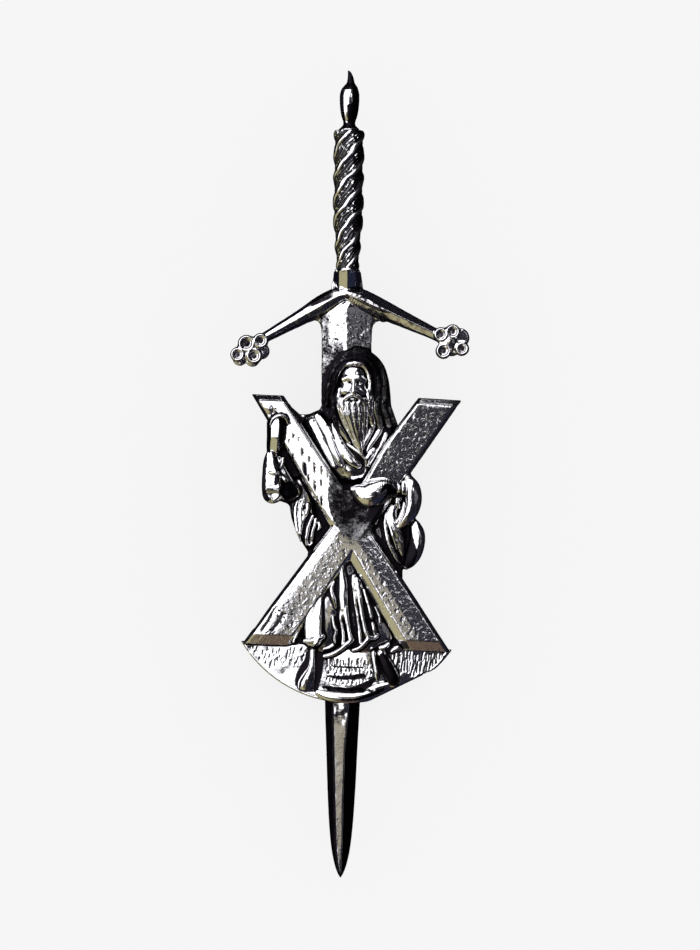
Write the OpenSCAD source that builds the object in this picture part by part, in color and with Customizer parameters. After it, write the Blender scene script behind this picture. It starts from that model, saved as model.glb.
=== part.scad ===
// Kilt pin: a cast sword with a robed, bearded figure and a diagonal cross over its blade.
// It lies on its back. +Z is its front, +Y runs along the sword to the pommel, +X is to the right,
// and the origin is under the middle of its box, on the surface that it rests on.

/* [Sword] */
// Overall length, from the blade's tip to the end of the pommel's spike
sword_l = 100; // [92:1:115]
// Blade's width just below the guard
blade_w = 6.4; // [5:0.1:8]
// Blade's thickness at its front ridge
blade_t = 2; // [1.6:0.1:3]
// Blade's thickness at its edges
blade_edge = 0.9; // [0.6:0.1:1.3]
// Length of the pommel's spike
spike_l = 2; // [1:0.1:4]
// Length of the pommel
pommel_l = 4.6; // [3.5:0.1:6]
// Width of the pommel
pommel_w = 2.5; // [2:0.1:3.6]
// Length of the neck between pommel and grip
neck_l = 0.8; // [0.5:0.1:2]
// Length of the twisted grip
grip_l = 17.3; // [12:0.1:22]
// Diameter of the grip's upper part
grip_d = 3.9; // [3:0.1:5]
// Diameter of the grip where it meets the collar
grip_low_d = 2.9; // [2.2:0.1:3]
// Length along the grip of one turn of a strand
strand_turn = 11.3; // [8:0.1:16]
// Length of the faceted collar
collar_l = 2; // [1.2:0.1:3]
// Collar's width where it meets the guard
collar_w = 3.7; // [3:0.1:4.6]

/* [Guard] */
// From the sword's axis to the outer end of the left quatrefoil
left_reach = 14.65; // [13:0.05:18]
// From the sword's axis to the outer end of the right quatrefoil
right_reach = 15.3; // [13:0.05:18]
// How far the left quatrefoil's centre lies below the guard's middle
left_drop = 6.7; // [4:0.1:9]
// How far the right quatrefoil's centre lies below the guard's middle
right_drop = 5.5; // [4:0.1:9]
// Arm's width at the guard's middle
arm_w = 2.7; // [2:0.1:3.4]
// Arm's width at its quatrefoil
arm_end_w = 1.4; // [1:0.1:1.9]
// Arm's thickness at the guard's middle
arm_t = 2.7; // [2:0.1:3.4]
// Arm's thickness at its quatrefoil
arm_end_t = 1.5; // [1.1:0.1:1.8]
// Radius of the fillets under the guard
shoulder_r = 1.7; // [1:0.1:2.4]
// Radius of each of the quatrefoil's lobes
lobe_r = 1.1; // [0.95:0.05:1.4]
// How far the lobes' centres spread from the quatrefoil's centre
foil_spread = 1.5; // [1.2:0.05:1.8]
// Thickness of a quatrefoil
foil_t = 1.9; // [1.5:0.1:2.6]
// Radius of a lobe's socket
socket_r = 0.7; // [0.5:0.05:0.8]
// Depth of a lobe's socket
socket_depth = 0.5; // [0.2:0.05:0.8]

/* [Figure] */
// Height of the figure with its ground, from the ground's lowest point to the hair
figure_h = 43.9; // [38:0.1:48]
// From the blade's tip up to the ground's lowest point
figure_from_tip = 21.8; // [18:0.1:24]
// How far the figure leans to the right of the sword's axis, in degrees
figure_lean = 1.7; // [0:0.1:4]
// Height of the figure's relief above the flat back
relief_h = 5.2; // [4.5:0.1:6.5]
// Thickness of the plate behind the figure
plate_t = 1.2; // [0.8:0.1:1.6]

/* [Cross] */
// Span of the cross across its upper ends
cross_top_w = 26; // [23:0.1:29]
// Span of the cross across its lower ends, which is also the ground's width
cross_low_w = 25.8; // [23:0.1:29]
// Height of the cross
cross_h = 30.9; // [28:0.1:33]
// Width of a beam's upper end
beam_top_w = 4.4; // [3.6:0.1:5.2]
// Width of a beam's lower end
beam_low_w = 6; // [5:0.1:7]
// Height of the cross's face above the flat back
cross_t = 3.7; // [3:0.1:4.2]
// Width of the slope along a beam's edges
beam_slope = 0.6; // [0.3:0.05:0.9]

/* [Ground] */
// Height of the ground's segment, from its lowest point to its straight top
ground_h = 6.8; // [5.5:0.1:8]
// Thickness of the ground
ground_t = 2; // [1.6:0.1:2.6]

/* [Back] */
// Clear space between the stem and the bar, where the cloth goes
pin_gap = 4.4; // [4.2:0.1:7]
// Diameter of the stem
stem_d = 1.3; // [1:0.1:1.8]
// Clear space between the stem and the surface that the pin rests on
stem_clear = 0.5; // [0.45:0.05:1]
// Distance between the hinge block's and the catch's centres
finding_l = 39; // [30:0.5:41]
// From the pin's middle up to the hinge block's centre
hinge_up = 12.5; // [9:0.5:15]
// Width of the finding's blocks and feet
foot_w = 5; // [4:0.1:6]
// Length of the hinge block
hinge_l = 3.6; // [3:0.1:5]
// Length of the catch
catch_l = 3; // [2:0.1:4]
// Width of the bar
bar_w = 4; // [3:0.1:4]
// Thickness of the bar
bar_t = 0.8; // [0.6:0.1:1.2]
// Clearance round the stem in the catch
catch_clear = 0.15; // [0.1:0.05:0.3]
// Length of the stem's point
point_l = 3; // [2:0.1:5]

/* [Hidden] */

back_z = stem_clear + stem_d + pin_gap + bar_t;
axis_x = (left_reach - right_reach) / 2;
// Sides of the twisted grip's cross-section, its rings in one turn of a strand, and how deep its
// valleys are as a share of its radius
GRIP_SIDES = 24;
GRIP_RINGS = 13.5;
strand_dip = 0.22;
front_room = 3 * relief_h;
// How far solids reach below the flat back before they are cut off there
under = 0.6;

// Places along the sword, from the pommel down
top_y = sword_l / 2;
pommel_top = top_y - spike_l;
grip_top = pommel_top - pommel_l - neck_l;
collar_top = grip_top - grip_l;
guard_y = collar_top - collar_l - arm_w * 0.4;
blade_top = guard_y - arm_w * 0.3;
blade_l = blade_top + sword_l / 2;

// Each row: way down the blade (share of its length), width and thickness (shares of the full ones)
BLADE = [
    [0, 1, 1], [0.07, 1, 1], [0.7, 0.69, 0.95], [0.83, 0.56, 0.9],
    [0.915, 0.46, 0.85], [0.96, 0.34, 0.7], [0.987, 0.2, 0.5], [1, 0.08, 0.35]];

// Each row: way up the pommel (share of its length) and radius (share of half its width)
POMMEL = [[0, 0.72], [0.12, 0.93], [0.3, 1], [0.68, 1], [0.86, 0.87], [0.96, 0.62], [1, 0.4]];
// The spike's two ends. Each row: across (share of the pommel's width), height along the sword, and
// radius (share of the pommel's width)
SPIKE = [[0, pommel_top - pommel_l * 0.1, 0.28], [-0.1, top_y, 0.1]];

// Each row: outward and upward from the quatrefoil's centre (shares of the spread), and 1 for a
// lobe with a socket or 0 for the low lobe behind them. The first row is the outermost lobe.
LEFT_FOIL = [[1.04, -0.47, 1], [0.3, 0.52, 1], [-1, 0.6, 1], [-0.33, -0.63, 1], [-0.93, -0.2, 0]];
RIGHT_FOIL = [[1.03, -0.57, 1], [0.25, 0.85, 1], [-0.79, 0.5, 1], [-0.48, -0.79, 1], [0.9, 0.3, 0]];

// The figure's tables. Each row: across and up from the ground's lowest point, and radius
// (shares of the figure's height), and height of the top (share of the relief).
PLATE = [
    [-0.19, 0.84], [-0.182, 0.828], [-0.158, 0.808], [-0.127, 0.809], [-0.103, 0.825], [-0.07, 0.9],
    [0.07, 0.9], [0.1, 0.84], [0.121, 0.786], [0.15, 0.69], [0.175, 0.62], [0.17, 0.54],
    [0.172, 0.52], [0.2, 0.465], [0.18, 0.405], [0.15, 0.38], [0.16, 0.14], [-0.16, 0.14], [-0.12, 0.42],
    [-0.153, 0.48], [-0.16, 0.545], [-0.225, 0.57], [-0.225, 0.69]];
BODY = [
    [-0.095, 0.775, 0.03, 0.5], [0.09, 0.77, 0.03, 0.52], [-0.06, 0.67, 0.03, 0.56],
    [0.06, 0.67, 0.03, 0.56], [0, 0.6, 0.03, 0.5]];
HOOD = [
    [-0.004, 0.93, 0.07, 0.82], [-0.012, 0.9, 0.078, 0.8], [0.018, 0.87, 0.08, 0.78],
    [0.04, 0.83, 0.062, 0.64], [-0.03, 0.86, 0.062, 0.66]];
FACE = [[-0.016, 0.915, 0.046, 0.97], [-0.01, 0.885, 0.044, 0.98], [-0.003, 0.85, 0.036, 0.95]];
NOSE = [[-0.013, 0.905, 0.009, 1], [-0.01, 0.878, 0.015, 1.04]];
BROW = [[-0.042, 0.905, 0.009, 0.96], [-0.014, 0.913, 0.009, 1], [0.015, 0.909, 0.009, 0.96]];
HAIR = [
    [[-0.055, 0.945, 0.022, 0.78], [-0.077, 0.9, 0.022, 0.68], [-0.083, 0.845, 0.022, 0.6]],
    [[-0.035, 0.965, 0.022, 0.84], [0.005, 0.972, 0.022, 0.86], [0.045, 0.945, 0.024, 0.82]],
    [[0.045, 0.945, 0.024, 0.82], [0.066, 0.9, 0.025, 0.8], [0.076, 0.85, 0.026, 0.72]],
    [[0.042, 0.9, 0.022, 0.86], [0.056, 0.86, 0.024, 0.84], [0.06, 0.81, 0.026, 0.76]],
    [[0.08, 0.87, 0.02, 0.62], [0.088, 0.825, 0.022, 0.6], [0.098, 0.785, 0.022, 0.56]]];
BEARD = [
    [[-0.066, 0.845, 0.018, 0.76], [-0.04, 0.79, 0.02, 0.78], [0.002, 0.728, 0.014, 0.68]],
    [[-0.03, 0.83, 0.02, 0.9], [-0.014, 0.775, 0.02, 0.82], [0.012, 0.718, 0.013, 0.7]],
    [[0.004, 0.825, 0.02, 0.9], [0.008, 0.77, 0.02, 0.84], [0.018, 0.715, 0.013, 0.72]],
    [[0.036, 0.84, 0.02, 0.86], [0.03, 0.78, 0.02, 0.8], [0.024, 0.725, 0.012, 0.7]]];
MOUSTACHE = [[-0.04, 0.848, 0.012, 0.92], [-0.006, 0.862, 0.014, 1], [0.028, 0.85, 0.012, 0.93]];
COLLAR_FOLDS = [
    [[-0.122, 0.785, 0.015, 0.5], [-0.09, 0.72, 0.016, 0.58], [-0.055, 0.672, 0.016, 0.6]],
    [[-0.096, 0.795, 0.015, 0.56], [-0.066, 0.73, 0.016, 0.64], [-0.02, 0.67, 0.016, 0.64]],
    [[-0.07, 0.79, 0.013, 0.6], [-0.032, 0.73, 0.014, 0.66], [0.025, 0.68, 0.014, 0.66]],
    [[0.095, 0.8, 0.016, 0.54], [0.068, 0.74, 0.016, 0.62], [0.036, 0.688, 0.015, 0.64]],
    [[0.125, 0.785, 0.014, 0.48], [0.09, 0.72, 0.015, 0.58], [0.045, 0.668, 0.015, 0.6]],
    [[-0.05, 0.655, 0.013, 0.6], [-0.02, 0.625, 0.013, 0.62], [0, 0.6, 0.013, 0.6]],
    [[0.03, 0.66, 0.013, 0.6], [0.012, 0.625, 0.013, 0.62], [0, 0.6, 0.013, 0.6]]];
LEFT_SLEEVE = [
    [-0.232, 0.69, 0.016, 0.7], [-0.226, 0.6, 0.028, 0.78], [-0.225, 0.585, 0.028, 0.76],
    [-0.172, 0.573, 0.03, 0.7], [-0.185, 0.66, 0.016, 0.6]];
LEFT_SLEEVE_FOLDS = [
    [[-0.236, 0.68, 0.01, 0.72], [-0.238, 0.62, 0.012, 0.8], [-0.222, 0.575, 0.012, 0.84]],
    [[-0.215, 0.66, 0.01, 0.72], [-0.205, 0.62, 0.012, 0.78], [-0.185, 0.6, 0.01, 0.76]]];
RIGHT_SLEEVE = [
    [0.105, 0.595, 0.04, 0.74], [0.15, 0.625, 0.03, 0.72], [0.165, 0.6, 0.028, 0.7],
    [0.15, 0.545, 0.028, 0.62], [0.13, 0.53, 0.02, 0.55]];
RIGHT_SLEEVE_FOLDS = [
    [[0.15, 0.648, 0.013, 0.74], [0.178, 0.61, 0.015, 0.76], [0.18, 0.57, 0.015, 0.72],
     [0.16, 0.53, 0.013, 0.66], [0.135, 0.512, 0.012, 0.6]],
    [[0.128, 0.64, 0.012, 0.8], [0.155, 0.6, 0.012, 0.8], [0.148, 0.55, 0.012, 0.7],
     [0.128, 0.52, 0.011, 0.6]]];
LEFT_DRAPE = [
    [[-0.15, 0.545, 0.014, 0.42], [-0.144, 0.49, 0.013, 0.44], [-0.125, 0.436, 0.012, 0.4]],
    [[-0.128, 0.555, 0.014, 0.46], [-0.12, 0.5, 0.013, 0.48], [-0.105, 0.455, 0.012, 0.44]],
    [[-0.104, 0.56, 0.014, 0.48], [-0.094, 0.52, 0.013, 0.5], [-0.085, 0.485, 0.012, 0.46]]];
RIGHT_DRAPE = [
    [[0.1, 0.54, 0.014, 0.56], [0.112, 0.46, 0.014, 0.56], [0.142, 0.4, 0.012, 0.5]],
    [[0.13, 0.51, 0.014, 0.5], [0.132, 0.455, 0.014, 0.5], [0.15, 0.395, 0.013, 0.46]],
    [[0.138, 0.5, 0.015, 0.52], [0.168, 0.505, 0.015, 0.56], [0.192, 0.465, 0.014, 0.54],
     [0.176, 0.41, 0.014, 0.5], [0.155, 0.392, 0.012, 0.46]],
    [[0.158, 0.475, 0.014, 0.46], [0.165, 0.43, 0.014, 0.44]]];
SKIRT = [
    [-0.003, 0.385, 0.02, 0.5], [-0.125, 0.18, 0.02, 0.44], [-0.03, 0.165, 0.02, 0.5],
    [0.07, 0.18, 0.02, 0.48], [0.12, 0.185, 0.02, 0.42]];
PLEATS = [
    [[-0.077, 0.3, 0.022, 0.6], [-0.09, 0.182, 0.028, 0.66]],
    [[-0.112, 0.245, 0.01, 0.5], [-0.135, 0.178, 0.014, 0.52]],
    [[-0.016, 0.38, 0.009, 0.6], [-0.03, 0.27, 0.012, 0.64], [-0.03, 0.17, 0.013, 0.64]],
    [[-0.004, 0.375, 0.008, 0.6], [0.001, 0.27, 0.011, 0.66], [0.01, 0.178, 0.012, 0.68]],
    [[0.014, 0.355, 0.008, 0.6], [0.033, 0.27, 0.01, 0.64], [0.052, 0.182, 0.012, 0.66]],
    [[0.036, 0.33, 0.008, 0.54], [0.064, 0.25, 0.01, 0.6], [0.086, 0.185, 0.012, 0.6]],
    [[0.075, 0.27, 0.008, 0.5], [0.118, 0.182, 0.013, 0.54]]];
HEM = [
    [-0.15, 0.165, 0.011, 0.54], [-0.118, 0.168, 0.012, 0.66], [-0.062, 0.17, 0.012, 0.68],
    [-0.046, 0.14, 0.011, 0.56], [-0.018, 0.15, 0.011, 0.62], [0.011, 0.172, 0.011, 0.7],
    [0.031, 0.154, 0.011, 0.6], [0.061, 0.176, 0.011, 0.68], [0.09, 0.178, 0.011, 0.62],
    [0.124, 0.17, 0.011, 0.56]];
LEGS = [
    [[-0.1, 0.145, 0.016, 0.54], [-0.106, 0.09, 0.018, 0.57], [-0.112, 0.065, 0.024, 0.6],
     [-0.105, 0.042, 0.024, 0.51]],
    [[0.096, 0.15, 0.016, 0.54], [0.108, 0.1, 0.018, 0.55], [0.12, 0.075, 0.022, 0.58],
     [0.132, 0.058, 0.02, 0.51]]];
TUFTS = [
    [[-0.06, 0.118, 0.012, 0.46], [0.075, 0.122, 0.012, 0.46]],
    [[-0.062, 0.09, 0.012, 0.45], [0.083, 0.095, 0.012, 0.45]],
    [[-0.06, 0.064, 0.012, 0.44], [0.09, 0.07, 0.012, 0.44]],
    [[-0.074, 0.034, 0.015, 0.46], [-0.02, 0.018, 0.018, 0.48], [0.04, 0.024, 0.018, 0.48],
     [0.088, 0.05, 0.015, 0.46]]];

// The hands' tables have the same columns. The left hand's rows start from the middle of the left
// beam at the hand's height, the right hand's from the middle of the cross.
LEFT_HAND_UP = 0.75;
LEFT_HAND = [
    [[-0.04, 0.03, 0.02, 0.9], [-0.045, -0.01, 0.022, 0.9], [-0.06, -0.05, 0.017, 0.76]],
    [[-0.062, 0.024, 0.013, 0.84], [-0.037, 0.042, 0.013, 0.92], [-0.008, 0.03, 0.012, 0.9]],
    [[-0.04, 0.022, 0.013, 0.95], [-0.002, 0.014, 0.012, 0.88]],
    [[-0.042, 0.004, 0.013, 0.95], [-0.008, -0.004, 0.012, 0.88]],
    [[-0.046, -0.014, 0.013, 0.93], [-0.018, -0.022, 0.012, 0.86]]];
RIGHT_HAND = [
    [[0.068, 0.105, 0.034, 0.92], [0.085, 0.092, 0.036, 0.9], [0.12, 0.105, 0.03, 0.76]],
    [[0.07, 0.13, 0.013, 0.92], [0.03, 0.112, 0.012, 0.86], [0.008, 0.098, 0.01, 0.8]],
    [[0.06, 0.11, 0.014, 0.96], [0.025, 0.095, 0.012, 0.84]],
    [[0.06, 0.09, 0.014, 0.95], [0.032, 0.076, 0.012, 0.84]],
    [[0.066, 0.07, 0.014, 0.92], [0.044, 0.06, 0.012, 0.84]]];

// Places of the cross
cross_low_y = ground_h;
cross_top_y = ground_h + cross_h;
function beam_mid(up) =
    let (share = (up - cross_low_y) / cross_h)
    (cross_low_w - beam_low_w) / 2 * (1 - share) - (cross_top_w - beam_top_w) / 2 * share;
cross_mid_share = (cross_low_w - beam_low_w) / (cross_low_w - beam_low_w + cross_top_w - beam_top_w);
cross_mid_y = cross_low_y + cross_h * cross_mid_share;
ground_r = (pow(cross_low_w / 2, 2) + pow(ground_h, 2)) / (2 * ground_h);

// A rounded point of the relief, from one row of a table, with straight sides down to the back
module knob(row, sides) {
    r = row[2] * figure_h;
    top = row[3] * relief_h;
    translate([row[0] * figure_h, row[1] * figure_h, -under]) {
        cylinder(h = top + under - r, r = r, $fn = sides);
        translate([0, 0, top + under - r]) sphere(r, $fn = sides);
    }
}

// A rounded ridge through the rows of a table
module fold(rows, sides = 6)
    for (i = [0 : len(rows) - 2])
        hull() {
            knob(rows[i], sides);
            knob(rows[i + 1], sides);
        }

// A rounded mass over all the rows of a table
module mass(rows)
    hull()
        for (row = rows) knob(row, 12);

// A bar with a flat back, low sides and a front ridge through sections. Each section: its centre,
// the direction across it in degrees, its width, its height at the sides and at the ridge
module ridge_bar(sections) {
    last = 5 * (len(sections) - 1);
    points = [
        for (s = sections, corner = [[-1, -1], [1, -1], [1, 0], [0, 1], [-1, 0]])
            let (
                out = corner[0] * s[2] / 2,
                z = corner[1] < 0 ? -under : corner[1] > 0 ? s[4] : s[3])
            [s[0][0] + out * cos(s[1]), s[0][1] + out * sin(s[1]), z]];
    sides = [
        for (i = [0 : len(sections) - 2], k = [0 : 4], half = [0, 1])
            let (a = 5 * i + k, b = 5 * i + (k + 1) % 5)
            half == 0 ? [a, b, b + 5] : [a, b + 5, a + 5]];
    polyhedron(points, concat(sides, [[4, 3, 2, 1, 0], [for (k = [0 : 4]) last + k]]));
}

// A flat layer from below the back up to a height
module layer(h)
    translate([0, 0, -under]) linear_extrude(h + under) children();

module blade()
    ridge_bar([
        for (row = BLADE)
            [[0, blade_top - row[0] * blade_l], 180, row[1] * blade_w,
             row[2] * blade_edge, row[2] * blade_t]]);

// Centre of a quatrefoil: side is -1 for the left and 1 for the right
function foil_at(side) =
    side < 0
        ? [-(left_reach - LEFT_FOIL[0][0] * foil_spread - lobe_r), guard_y - left_drop]
        : [right_reach - RIGHT_FOIL[0][0] * foil_spread - lobe_r, guard_y - right_drop];

module arm(side)
    ridge_bar([
        for (share = [-0.04, 1])
            let (
                place = foil_at(side) * share + [0, guard_y] * (1 - share),
                slope = atan2(foil_at(side)[1] - guard_y, foil_at(side)[0]),
                thick = arm_t * (1 - share) + arm_end_t * share)
            [place, slope - 90, arm_w * (1 - share) + arm_end_w * share, thick * 0.4, thick]]);

// The guard's flat shoulders, with round fillets between the arms and the blade
module shoulders()
    layer(blade_edge * 0.85)
        offset(r = -shoulder_r, $fn = 40) offset(r = shoulder_r, $fn = 40) {
            for (side = [-1, 1])
                polygon([
                    [0, guard_y + arm_w * 0.2], [0, guard_y - arm_w * 0.6],
                    foil_at(side) - [0, arm_end_w * 0.5], foil_at(side) + [0, arm_end_w * 0.2]]);
            translate([-blade_w * 0.485, guard_y - arm_w * 3])
                square([blade_w * 0.97, arm_w * 2.5]);
        }

module lobe(row)
    translate([0, 0, -under])
        cylinder(
            h = foil_t * (row[2] == 1 ? 1 : 0.62) + under, r1 = lobe_r * 1.04,
            r2 = row[2] == 1 ? (lobe_r + socket_r) / 2 : lobe_r, $fn = 16);

module socket()
    translate([0, 0, foil_t - socket_depth])
        difference() {
            cylinder(h = 2 * socket_depth, r1 = socket_r * 0.4, r2 = socket_r * 1.6, $fn = 16);
            sphere(socket_r * 0.35, $fn = 6);
        }

module quatrefoil(side) {
    rows = side < 0 ? LEFT_FOIL : RIGHT_FOIL;
    translate(foil_at(side))
        difference() {
            union() {
                for (row = rows)
                    translate([side * row[0], row[1]] * foil_spread) lobe(row);
                layer(foil_t * 0.8) circle(lobe_r * 1.2, $fn = 16);
            }
            for (row = rows)
                if (row[2] == 1)
                    translate([side * row[0], row[1]] * foil_spread) socket();
        }
}

// Radius of the four twisted strands at a height up the grip and an angle round it
function grip_r(up, angle) =
    let (
        full = grip_low_d + (grip_d - grip_low_d) * min(1, up / (grip_l * 0.4)),
        round = abs(cos(2 * (angle - 360 * up / strand_turn))))
    full / 2 * (1 - strand_dip * (1 - sqrt(round)));

// Four strands twisted round each other, as one closed surface
module grip() {
    rings = ceil(GRIP_RINGS * grip_l / strand_turn);
    points = [
        for (i = [0 : rings], k = [0 : GRIP_SIDES - 1])
            let (
                up = i * grip_l / rings, angle = k * 360 / GRIP_SIDES + 360 * up / strand_turn,
                r = grip_r(up, angle))
            [r * sin(angle), collar_top + up, grip_d / 2 + r * cos(angle)]];
    sides = [
        for (i = [0 : rings - 1], k = [0 : GRIP_SIDES - 1])
            let (a = i * GRIP_SIDES + k, b = i * GRIP_SIDES + (k + 1) % GRIP_SIDES)
            [a, a + GRIP_SIDES, b + GRIP_SIDES, b]];
    low_end = [for (k = [0 : GRIP_SIDES - 1]) k];
    high_end = [for (k = [0 : GRIP_SIDES - 1]) (rings + 1) * GRIP_SIDES - 1 - k];
    polyhedron(points, concat(sides, [low_end, high_end]));
}

module pommel()
    translate([0, 0, grip_d / 2]) {
        translate([0, grip_top - neck_l / 2, 0])
            rotate([-90, 0, 0]) cylinder(h = neck_l * 2, r1 = pommel_w * 0.5, r2 = pommel_w * 0.4, $fn = 16);
        translate([0, pommel_top - pommel_l, 0])
            rotate([-90, 0, 0])
                rotate_extrude($fn = 20)
                    polygon(concat(
                        [[0, 0]], [for (row = POMMEL) [row[1] * pommel_w / 2, row[0] * pommel_l]],
                        [[0, pommel_l]]));
        hull()
            for (row = SPIKE)
                translate([row[0] * pommel_w, row[1], 0])
                    rotate([90, 0, 0]) cylinder(h = spike_l * 0.05, r = row[2] * pommel_w, $fn = 12);
    }

module collar()
    ridge_bar([
        [[0, collar_top], 180, grip_low_d, grip_d * 0.45, grip_d * 0.85],
        [[0, collar_top - collar_l], 180, collar_w, grip_d * 0.4, grip_d * 0.8],
        [[0, guard_y - arm_w * 0.4], 180, collar_w * 1.1, arm_t * 0.4, arm_t * 0.9]]);

module beam_outline(side)
    scale([side, 1])
        polygon([
            [-cross_top_w / 2, cross_top_y], [-cross_top_w / 2 + beam_top_w, cross_top_y],
            [cross_low_w / 2, cross_low_y], [cross_low_w / 2 - beam_low_w, cross_low_y]]);

// A beam of the cross: a flat face with sloping sides and slightly rounded corners
module beam(side)
    hull() {
        layer(plate_t) beam_outline(side);
        layer(cross_t) offset(r = beam_slope / 2, $fn = 16) offset(delta = -beam_slope * 1.5)
            beam_outline(side);
    }

module ground() {
    layer(ground_t)
        intersection() {
            translate([0, ground_r]) circle(ground_r, $fn = 90);
            translate([-cross_low_w / 2, 0]) square([cross_low_w, ground_h]);
        }
    for (side = [-1, 1], share = [0.47 : 0.075 : 0.93])
        grass(side * share * cross_low_w / 2);
}

// One blade of grass at a distance across from the ground's middle
module grass(across) {
    low = ground_r - sqrt(pow(ground_r, 2) - pow(across, 2));
    rise = (ground_h - low) * 0.85;
    hull()
        for (share = [0.15, 1])
            translate([across * (1 - 0.03 * share), low + rise * share, ground_t])
                sphere(cross_low_w * 0.015, $fn = 6);
}

module robe() {
    layer(plate_t * 0.9) polygon([for (row = PLATE) row * figure_h]);
    mass(BODY);
    mass(LEFT_SLEEVE);
    mass(RIGHT_SLEEVE);
    mass(SKIRT);
    fold(HEM);
    for (group = [COLLAR_FOLDS, LEFT_SLEEVE_FOLDS, RIGHT_SLEEVE_FOLDS, LEFT_DRAPE, RIGHT_DRAPE, PLEATS])
        for (rows = group) fold(rows);
}

module head() {
    mass(HOOD);
    mass(FACE);
    for (rows = concat([NOSE, BROW, MOUSTACHE], HAIR, BEARD)) fold(rows, 8);
}

module hands() {
    hand_y = LEFT_HAND_UP * figure_h;
    translate([beam_mid(hand_y), hand_y])
        for (rows = LEFT_HAND) fold(rows, 8);
    translate([0, cross_mid_y])
        for (rows = RIGHT_HAND) fold(rows, 8);
}

module figure() {
    ground();
    for (rows = TUFTS) fold(rows);
    for (rows = LEGS) fold(rows);
    robe();
    head();
    for (side = [-1, 1]) beam(side);
    hands();
}

// The sword and the figure are one casting with a flat back
module casting()
    color([0.6, 0.61, 0.64])
        translate([axis_x, 0, back_z])
            intersection() {
                union() {
                    blade();
                    shoulders();
                    for (side = [-1, 1]) {
                        arm(side);
                        quatrefoil(side);
                    }
                    collar();
                    grip();
                    pommel();
                    translate([0, figure_from_tip - sword_l / 2])
                        rotate(-figure_lean) figure();
                }
                translate([-sword_l, -sword_l, 0]) cube([2 * sword_l, 2 * sword_l, front_room]);
            }

// The finding: a bar soldered along the flat back, a hinge block, a stem and an open catch
module pin_finding()
    color([0.75, 0.75, 0.77]) {
        catch_y = hinge_up - finding_l;
        stem_z = stem_clear + stem_d / 2;
        slot_h = stem_d + 2 * catch_clear;
        translate([axis_x, 0, 0]) {
            translate([-bar_w / 2, catch_y - catch_l, back_z - bar_t])
                cube([bar_w, finding_l + catch_l + hinge_l, bar_t]);
            translate([-foot_w / 2, hinge_up - hinge_l / 2, 0])
                cube([foot_w, hinge_l, back_z - bar_t]);
            difference() {
                translate([-foot_w / 2, catch_y - catch_l / 2, 0])
                    cube([foot_w, catch_l, back_z - bar_t]);
                translate([-slot_h / 2, catch_y - catch_l, stem_z - slot_h / 2])
                    cube([foot_w, 2 * catch_l, slot_h]);
            }
            translate([0, hinge_up, stem_z])
                rotate([90, 0, 0]) cylinder(h = finding_l + catch_l, d = stem_d, $fn = 32);
            translate([0, catch_y - catch_l, stem_z])
                rotate([90, 0, 0])
                    cylinder(h = point_l, d1 = stem_d, d2 = stem_d * 0.2, $fn = 32);
        }
    }

casting();
pin_finding();
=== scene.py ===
import math
from itertools import product

import bpy
import numpy as np
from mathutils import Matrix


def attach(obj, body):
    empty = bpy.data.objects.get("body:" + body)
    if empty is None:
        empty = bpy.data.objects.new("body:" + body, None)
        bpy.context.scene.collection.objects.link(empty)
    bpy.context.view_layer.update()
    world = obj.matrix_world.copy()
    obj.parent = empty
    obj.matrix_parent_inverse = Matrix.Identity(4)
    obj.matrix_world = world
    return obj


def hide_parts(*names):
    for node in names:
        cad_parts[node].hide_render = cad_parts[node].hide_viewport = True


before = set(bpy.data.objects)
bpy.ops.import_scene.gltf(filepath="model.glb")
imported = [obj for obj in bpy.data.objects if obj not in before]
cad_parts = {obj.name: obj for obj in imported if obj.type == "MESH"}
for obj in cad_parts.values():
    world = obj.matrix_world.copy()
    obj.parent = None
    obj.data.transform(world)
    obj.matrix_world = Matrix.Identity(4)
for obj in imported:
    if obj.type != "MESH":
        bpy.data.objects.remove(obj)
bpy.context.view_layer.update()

# Sizes in millimetres, as in the solids, apart from FIG_X, which stands the figure a little further to the
# right. The relief is modelled above the casting's flat back.
BACK = 7.0
AXIS_X = -0.325
SWORD_L = 100.0
FIG_H = 43.9
FIG_X = 0.2
FIG_Y = 21.8 - SWORD_L / 2
RELIEF = 5.2
LEAN = math.radians(1.7)
GUARD_Y = 22.22
COLLAR_TOP = 25.3
GRIP_L = 17.3
GRIP_D = 3.9
GRIP_LOW_D = 2.9
STRAND_TURN = 11.3
CROSS_T = 3.7
CROSS_TOP_W = 26.0
CROSS_LOW_W = 25.8
CROSS_H = 30.9
BEAM_TOP_W = 4.4
BEAM_LOW_W = 6.0
GROUND_H = 6.8
GROUND_T = 2.0
PLATE_T = 1.1
HAND_BASE = 2.6

rng = np.random.default_rng(11)


# Shapes as distances on a grid ---------------------------------------------------------------

def soft_min(a, b, k):
    if k <= 0:
        return np.minimum(a, b)
    h = np.maximum(k - np.abs(a - b), 0) / k
    return np.minimum(a, b) - h * h * (k / 4)


def soft_max(a, b, k):
    return -soft_min(-a, -b, k)


def step(x, low, high):
    t = np.clip((x - low) / (high - low), 0, 1)
    return t * t * (3 - 2 * t)


def curve(rows, steps=6):
    """A smooth path through the rows of a table."""
    rows = np.array(rows, float)
    ends = np.vstack([2 * rows[0] - rows[1], rows, 2 * rows[-1] - rows[-2]])
    out = []
    for i in range(1, len(ends) - 2):
        p0, p1, p2, p3 = ends[i - 1:i + 3]
        for s in range(steps):
            t = s / steps
            out.append(0.5 * (2 * p1 + (p2 - p0) * t + (2 * p0 - 5 * p1 + 4 * p2 - p3) * t * t
                              + (3 * p1 - p0 - 3 * p2 + p3) * t ** 3))
    out.append(rows[-1])
    return np.array(out)


def normals(places):
    """For each place of a path, the direction across it."""
    run = np.gradient(places, axis=0)
    return np.stack([-run[:, 1], run[:, 0]], 1) / np.linalg.norm(run, axis=1)[:, None]


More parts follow.
